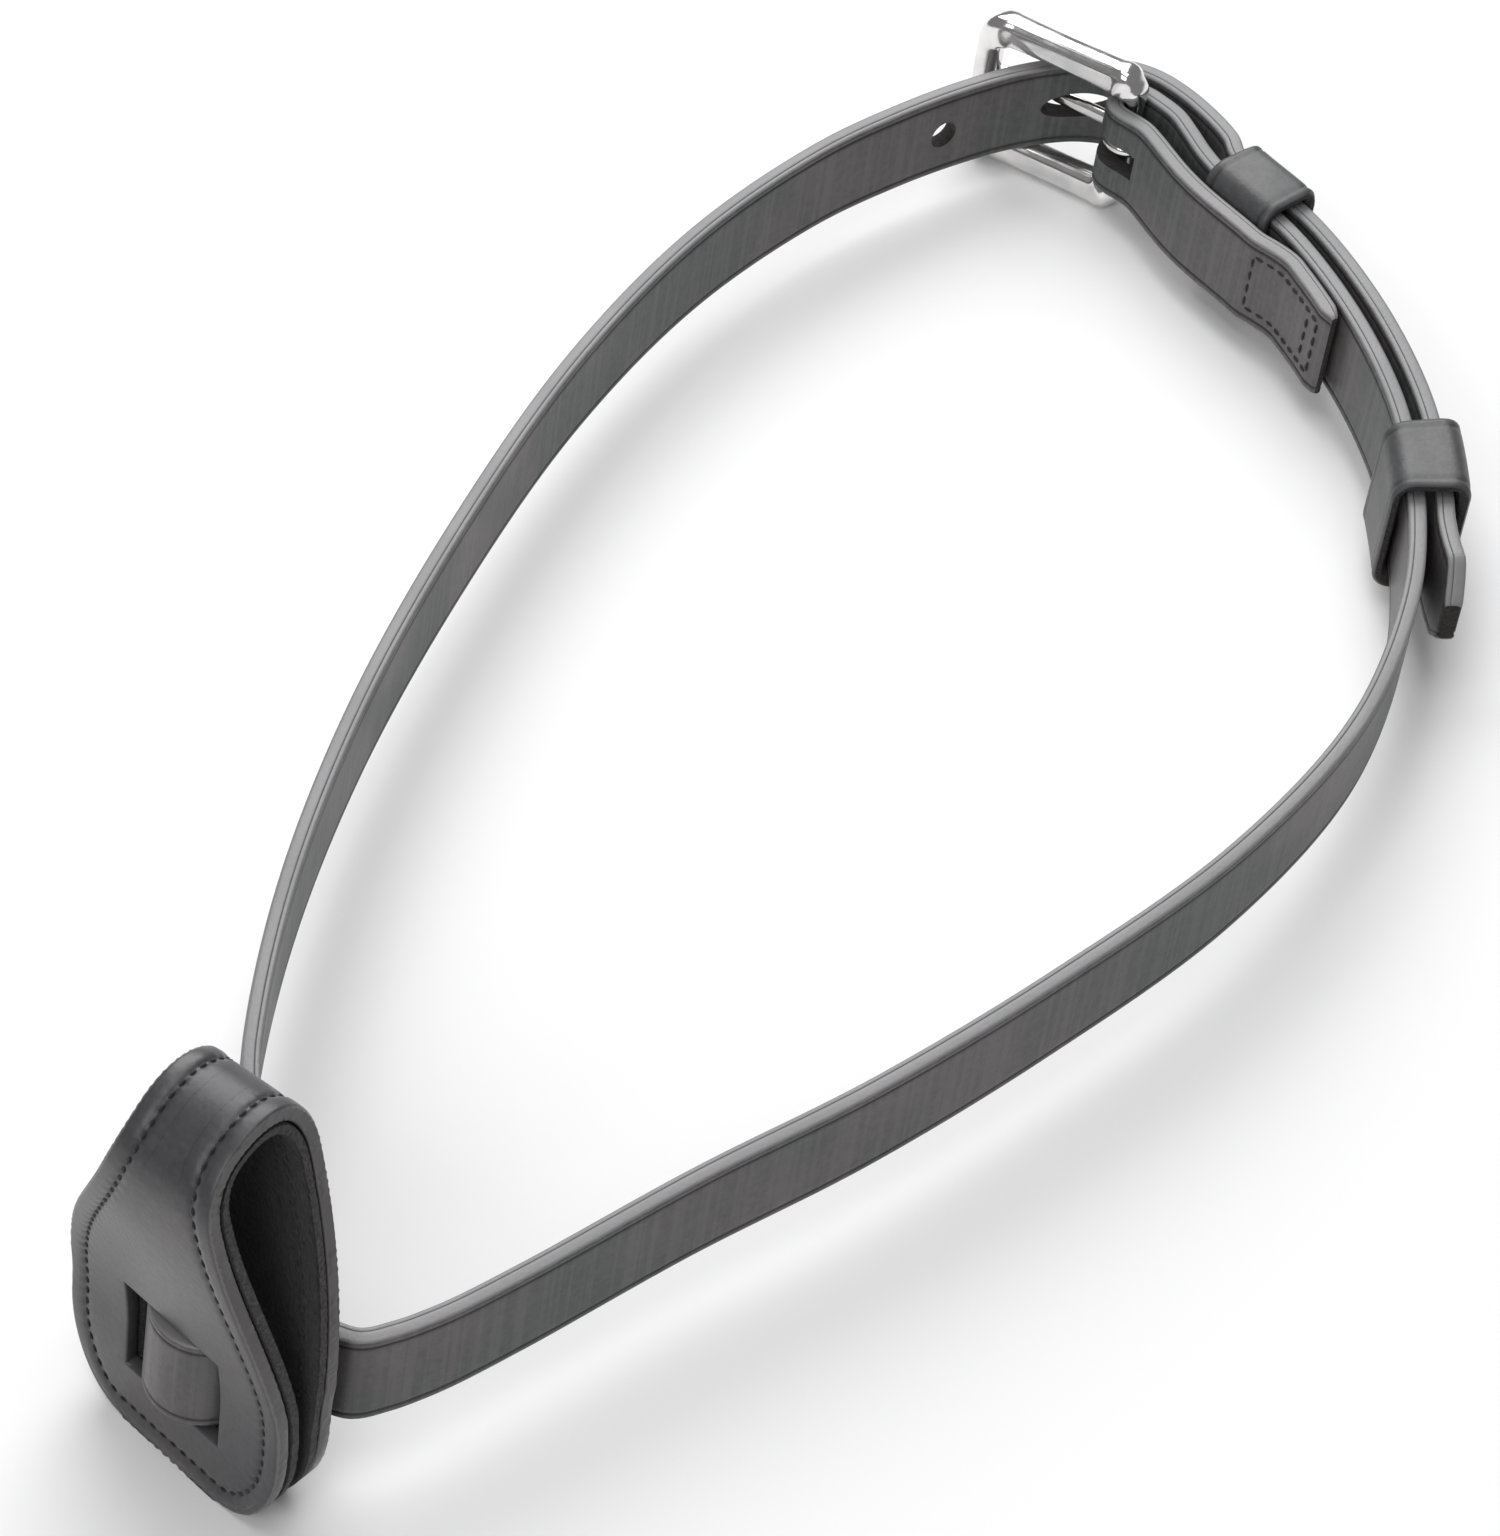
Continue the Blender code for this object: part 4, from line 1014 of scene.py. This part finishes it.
def flapStitches():
    s = flapSeam
    reach = strapShape["width"] / 2 - s["inset"]
    box = [(s["boxStart"], -reach), (s["boxEnd"], -reach), (s["boxEnd"], reach), (s["boxStart"], reach)]
    cross = [(s["crossAt"], -s["crossReach"]), (s["crossAt"], s["crossReach"])]
    boxRows, crossRow = list(zip(box, box[1:] + box[:1])), [tuple(cross)]
    for name, rows, front, node in (
        ("flapBoxStitches", boxRows, True, "box_thread"),
        ("flapCrossStitches", crossRow, True, "cross_thread"),
        ("flapBoxStitchesBack", boxRows, False, "box_thread_back"),
        ("flapCrossStitchesBack", crossRow, False, "cross_thread_back"),
    ):
        points, faces = [], []
        for a, b in rows:
            stitchRow(a, b, front, points, faces)
        makePiece(name, np.array(points), faces, [waxedThread], "strap_body", (node,),
                  sharp=60)


flapStitches()
print("stitches ready")


# the two closed bands that hold the loose end

def keeperProfile(low, high, halfTall, radius, steps):
    out = []
    corners = ((high - radius, halfTall - radius, 0), (low + radius, halfTall - radius, 90),
               (low + radius, radius - halfTall, 180), (high - radius, radius - halfTall, 270))
    for k, (cx, cy, start) in enumerate(corners):
        out += arc((cx, cy), radius, start, start + 90, 6)
        nx, ny, nextStart = corners[(k + 1) % 4]
        end = arc((cx, cy), radius, start + 90, start + 90, 1)[0]
        begin = arc((nx, ny), radius, nextStart, nextStart, 1)[0]
        dx, dy = begin[0] - end[0], begin[1] - end[1]
        out += [(end[0] + dx * j / steps[k], end[1] + dy * j / steps[k]) for j in range(1, steps[k])]
    return np.array(out)


def buildKeeper(name, node, at, clear, body):
    k = keeperShape
    low = -strapShape["thick"] / 2 - clear
    high = overlapShape["billetGap"] + strapShape["thick"] / 2 + clear
    half = k["tall"] / 2
    steps = (6, 14, 6, 14)
    rows = 27
    points, bands, grooveShades = [], [], []
    for i in range(rows):
        share = i / (rows - 1)
        along = k["length"] * share
        fromEnd = min(along, k["length"] - along)
        slim = 0.32 - math.sqrt(max(0.32 ** 2 - (0.32 - min(fromEnd, 0.32)) ** 2, 0))
        groove = 0.11 * math.exp(-((fromEnd - 1.35) / 0.22) ** 2)
        skin = k["thick"] - slim - groove
        outer = keeperProfile(low - skin, high + skin, half + skin, k["radius"], steps)
        inner = keeperProfile(low - slim, high + slim, half + slim, k["innerRadius"], steps)
        centre, (tx, ty) = atLength(run, at - k["length"] / 2 + along)
        for ring, kind in ((outer, 1), (inner, 0)):
            for aside, up in ring:
                x, y = centre[0] - ty * aside, centre[1] + tx * aside
                points.append(leaned(x, y, midHeight(centre[0]) + up))
                # painted shade in the grooves near the ends and, at half strength, over the band's inner
                # face, which also takes the darker edge colour
                bands.append(max(0.0, 1 - fromEnd / 0.3) if kind else 0.6)
                grooveShades.append(math.exp(-((fromEnd - 1.35) / 0.2) ** 2) * 0.75 if kind else 0.5)
    sides = len(outer)
    faces, indices, uv = [], [], []
    for i in range(rows - 1):
        a, b = i * 2 * sides, (i + 1) * 2 * sides
        for j in range(sides):
            n = (j + 1) % sides
            faces.append((a + j, a + n, b + n, b + j))
            faces.append((a + sides + n, a + sides + j, b + sides + j, b + sides + n))
            indices += [0, 1]
            u0, u1 = j * 0.6, (j + 1) * 0.6
            v0, v1 = i * 0.46, (i + 1) * 0.46
            uv += [(u0, v0), (u1, v0), (u1, v1), (u0, v1)] * 2
    end = (rows - 1) * 2 * sides
    for j in range(sides):
        n = (j + 1) % sides
        faces.append((n, j, sides + j, sides + n))
        faces.append((end + j, end + n, end + sides + n, end + sides + j))
        indices += [1, 1]
        uv += [(0, 0)] * 8
    marks = {"edgeBand": bands, "crease": grooveShades}
    makePiece(name, points, faces, [keeperLeather, cutLeather], body, (node,), uv, marks,
              indices, 50.0)


buildKeeper("fixedKeeperBand", "fixed_keeper", keeperShape["fixedAt"], keeperShape["fixedClear"],
            "strap_body")
buildKeeper("slidingKeeperBand", "sliding_keeper", keeperShape["slidingAt"], keeperShape["slidingClear"],
            "keeper")
print("keepers ready")


# the steel frame and its tongue

buckleLook = {"facet": 3.0, "cornerFlare": 1.2, "knuckle": 0.3, "step": 0.45, "sides": 40}


def buckleStations():
    b = buckleShape
    tall = b["inner"] / 2 + b["side"][0]
    c, front, thin = b["corner"], b["length"], (b["heelBar"], b["heelBar"])
    corners = []

    def mixed(a, d, t):
        return (a[0] + (d[0] - a[0]) * t, a[1] + (d[1] - a[1]) * t)

    def straight(p, q, half, mark):
        count = max(2, round(distance(p, q) / buckleLook["step"]))
        for i in range(1, count):
            t = i / count
            corners.append((p[0] + (q[0] - p[0]) * t, p[1] + (q[1] - p[1]) * t, half, mark, t))

    def bend(centre, start, a, d, mark):
        for i, p in enumerate(arc(centre, c, start, start - 90, 12)):
            corners.append((p[0], p[1], mixed(a, d, ease(i / 12)), mark, i / 12))

    straight((0, c - tall), (0, tall - c), thin, "heel")
    bend((c, tall - c), 180, thin, b["side"], "heelTop")
    straight((c, tall), (front - c, tall), b["side"], "top")
    bend((front - c, tall - c), 90, b["side"], b["front"], "frontTop")
    straight((front, tall - c), (front, c - tall), b["front"], "front")
    bend((front - c, c - tall), 0, b["front"], b["side"], "frontLow")
    straight((front - c, -tall), (c, -tall), b["side"], "low")
    bend((c, c - tall), -90, b["side"], thin, "heelLow")
    return corners


def buildBuckle():
    b = buckleShape
    stations = buckleStations()
    along = (math.cos(math.radians(b["turn"])), math.sin(math.radians(b["turn"])))
    outward = (along[1], -along[0])
    spots = np.array([(s[0], s[1]) for s in stations])
    turn = np.roll(spots, -1, 0) - np.roll(spots, 1, 0)
    turn /= np.linalg.norm(turn, axis=1)[:, None]
    points = []
    for (u, v, half, mark, t), (du, dv) in zip(stations, turn):
        grow = 1.0
        if mark in ("frontTop", "frontLow"):
            grow = 1 + (buckleLook["cornerFlare"] - 1) * math.sin(math.pi * t)
        if mark in ("heelTop", "heelLow"):
            near = t if mark == "heelTop" else 1 - t
            dip = 0.16 * math.exp(-((near - 0.55) / 0.1) ** 2)
            grow = 1 + buckleLook["knuckle"] * math.sin(math.pi * near) - dip
        if mark in ("top", "low"):
            grow = 1 - 0.05 * math.sin(math.pi * t)
        power = 2 / (buckleLook["facet"] if half[0] > 1.5 else 2.0)
        for j in range(buckleLook["sides"]):
            a = 2 * math.pi * j / buckleLook["sides"]
            cx = math.copysign(abs(math.cos(a)) ** power, math.cos(a)) * half[0] * grow
            cy = math.copysign(abs(math.sin(a)) ** power, math.sin(a)) * half[1] * grow
            p = shifted(shifted(b["heel"], along, u - dv * cx), outward, cy)
            points.append(tilted(p[0], p[1], midHeight(b["heel"][0]) + v + du * cx))
    faces = gridFaces(len(stations), buckleLook["sides"], wrapRows=True)
    makePiece("buckleFrameSteel", points, faces, [polishedSteel], "buckle", ("buckle_frame",),
              sharp=60)


def buildTongue():
    b = buckleShape
    line = np.array(smoothLine(tongueLine()))
    at = lengthsOf(line)
    wanted = np.arange(0, at[-1], 0.35)
    line = np.stack([np.interp(wanted, at, line[:, k]) for k in (0, 1)], 1)
    turn = tangentsOf(line)
    total = wanted[-1]
    sides = 28
    points = []
    for p, (tx, ty), here in zip(line, turn, wanted):
        left = total - here
        r = b["tongue"] + (b["tongueTip"] - b["tongue"]) * ease(1 - left / 9.0)
        cap = math.sqrt(max(0.0, 1 - max(0.0, 1 - left / 0.75) ** 2)) * 0.97 + 0.03
        start = math.sqrt(max(0.0, 1 - max(0.0, 1 - here / 0.4) ** 2)) * 0.9 + 0.1
        ridge = ease((here - 6.0) / 3.0)
        for j in range(sides):
            a = 2 * math.pi * j / sides
            around = math.atan2(math.sin(a), math.cos(a))
            sideways = math.exp(-(around / 0.45) ** 2) + math.exp(-((abs(around) - math.pi) / 0.45) ** 2)
            lobe = 1 - 0.14 * ridge * sideways
            aside = r * cap * start * lobe * math.cos(a)
            up = r * cap * start * lobe * math.sin(a) * (1 + 0.12 * ridge)
            points.append(tilted(p[0] - ty * aside, p[1] + tx * aside, midHeight(b["heel"][0]) + up))
    faces = gridFaces(len(line), sides).tolist()
    capEnds(faces, len(line), sides)
    makePiece("buckleTongueSteel", points, faces, [polishedSteel], "tongue", ("buckle_tongue",),
              sharp=60)


buildBuckle()
buildTongue()
print("buckle ready")


# floor, lights and camera

studioLook = {
    "floor": (0.92, 0.92, 0.92), "world": 0.22, "backPower": 11.0, "keyPower": 4.2, "topPower": 4.2,
    "azimuth": -52.0, "elevation": 50.0, "distance": 0.7, "focal": 5488.0,
}


def buildStudio():
    look = studioLook
    mesh = bpy.data.meshes.new("studioFloor")
    mesh.from_pydata([(-6, -6, 0), (6, -6, 0), (6, 6, 0), (-6, 6, 0)], [], [(0, 1, 2, 3)])
    made, _, shader = startMaterial("paleFloor", 0.9, specular=0.2)
    shader.inputs["Base Color"].default_value = (*look["floor"], 1.0)
    mesh.materials.append(made)
    floor = bpy.data.objects.new("studioFloor", mesh)
    bpy.context.scene.collection.objects.link(floor)

    world = bpy.data.worlds.new("softStudio")
    world.use_nodes = True
    world.node_tree.nodes["Background"].inputs["Color"].default_value = (1.0, 1.0, 1.0, 1.0)
    world.node_tree.nodes["Background"].inputs["Strength"].default_value = look["world"]
    bpy.context.scene.world = world

    aim = Vector((-middle[0] * mm, -middle[1] * mm, 0.0))
    a, e = math.radians(look["azimuth"]), math.radians(look["elevation"])
    back = Vector((math.sin(a) * math.cos(e), -math.cos(a) * math.cos(e), math.sin(e)))
    data = bpy.data.cameras.new("camera")
    data.lens = look["focal"] * 36.0 / 1536.0
    data.clip_start = 0.05
    camera = bpy.data.objects.new("camera", data)
    camera.location = aim + back * look["distance"]
    camera.rotation_euler = back.to_track_quat("Z", "Y").to_euler()
    bpy.context.scene.collection.objects.link(camera)
    bpy.context.scene.camera = camera

    for name, direction, far, size, power in (
        ("backPanel", Vector((0.62, 0.5, 0.75)), 1.1, 0.9, look["backPower"]),
        ("keyPanel", Vector((-0.9, -0.1, 0.8)), 1.2, 0.7, look["keyPower"]),
        ("topPanel", Vector((0.0, 0.0, 1.0)), 1.2, 0.8, look["topPower"]),
    ):
        light = bpy.data.lights.new(name, "AREA")
        light.energy = power
        light.shape = "SQUARE"
        light.size = size
        lamp = bpy.data.objects.new(name, light)
        direction = direction.normalized()
        lamp.location = aim + direction * far
        lamp.rotation_euler = direction.to_track_quat("Z", "Y").to_euler()
        bpy.context.scene.collection.objects.link(lamp)
    bpy.context.scene.view_settings.view_transform = "Standard"


buildStudio()
print("studio ready")
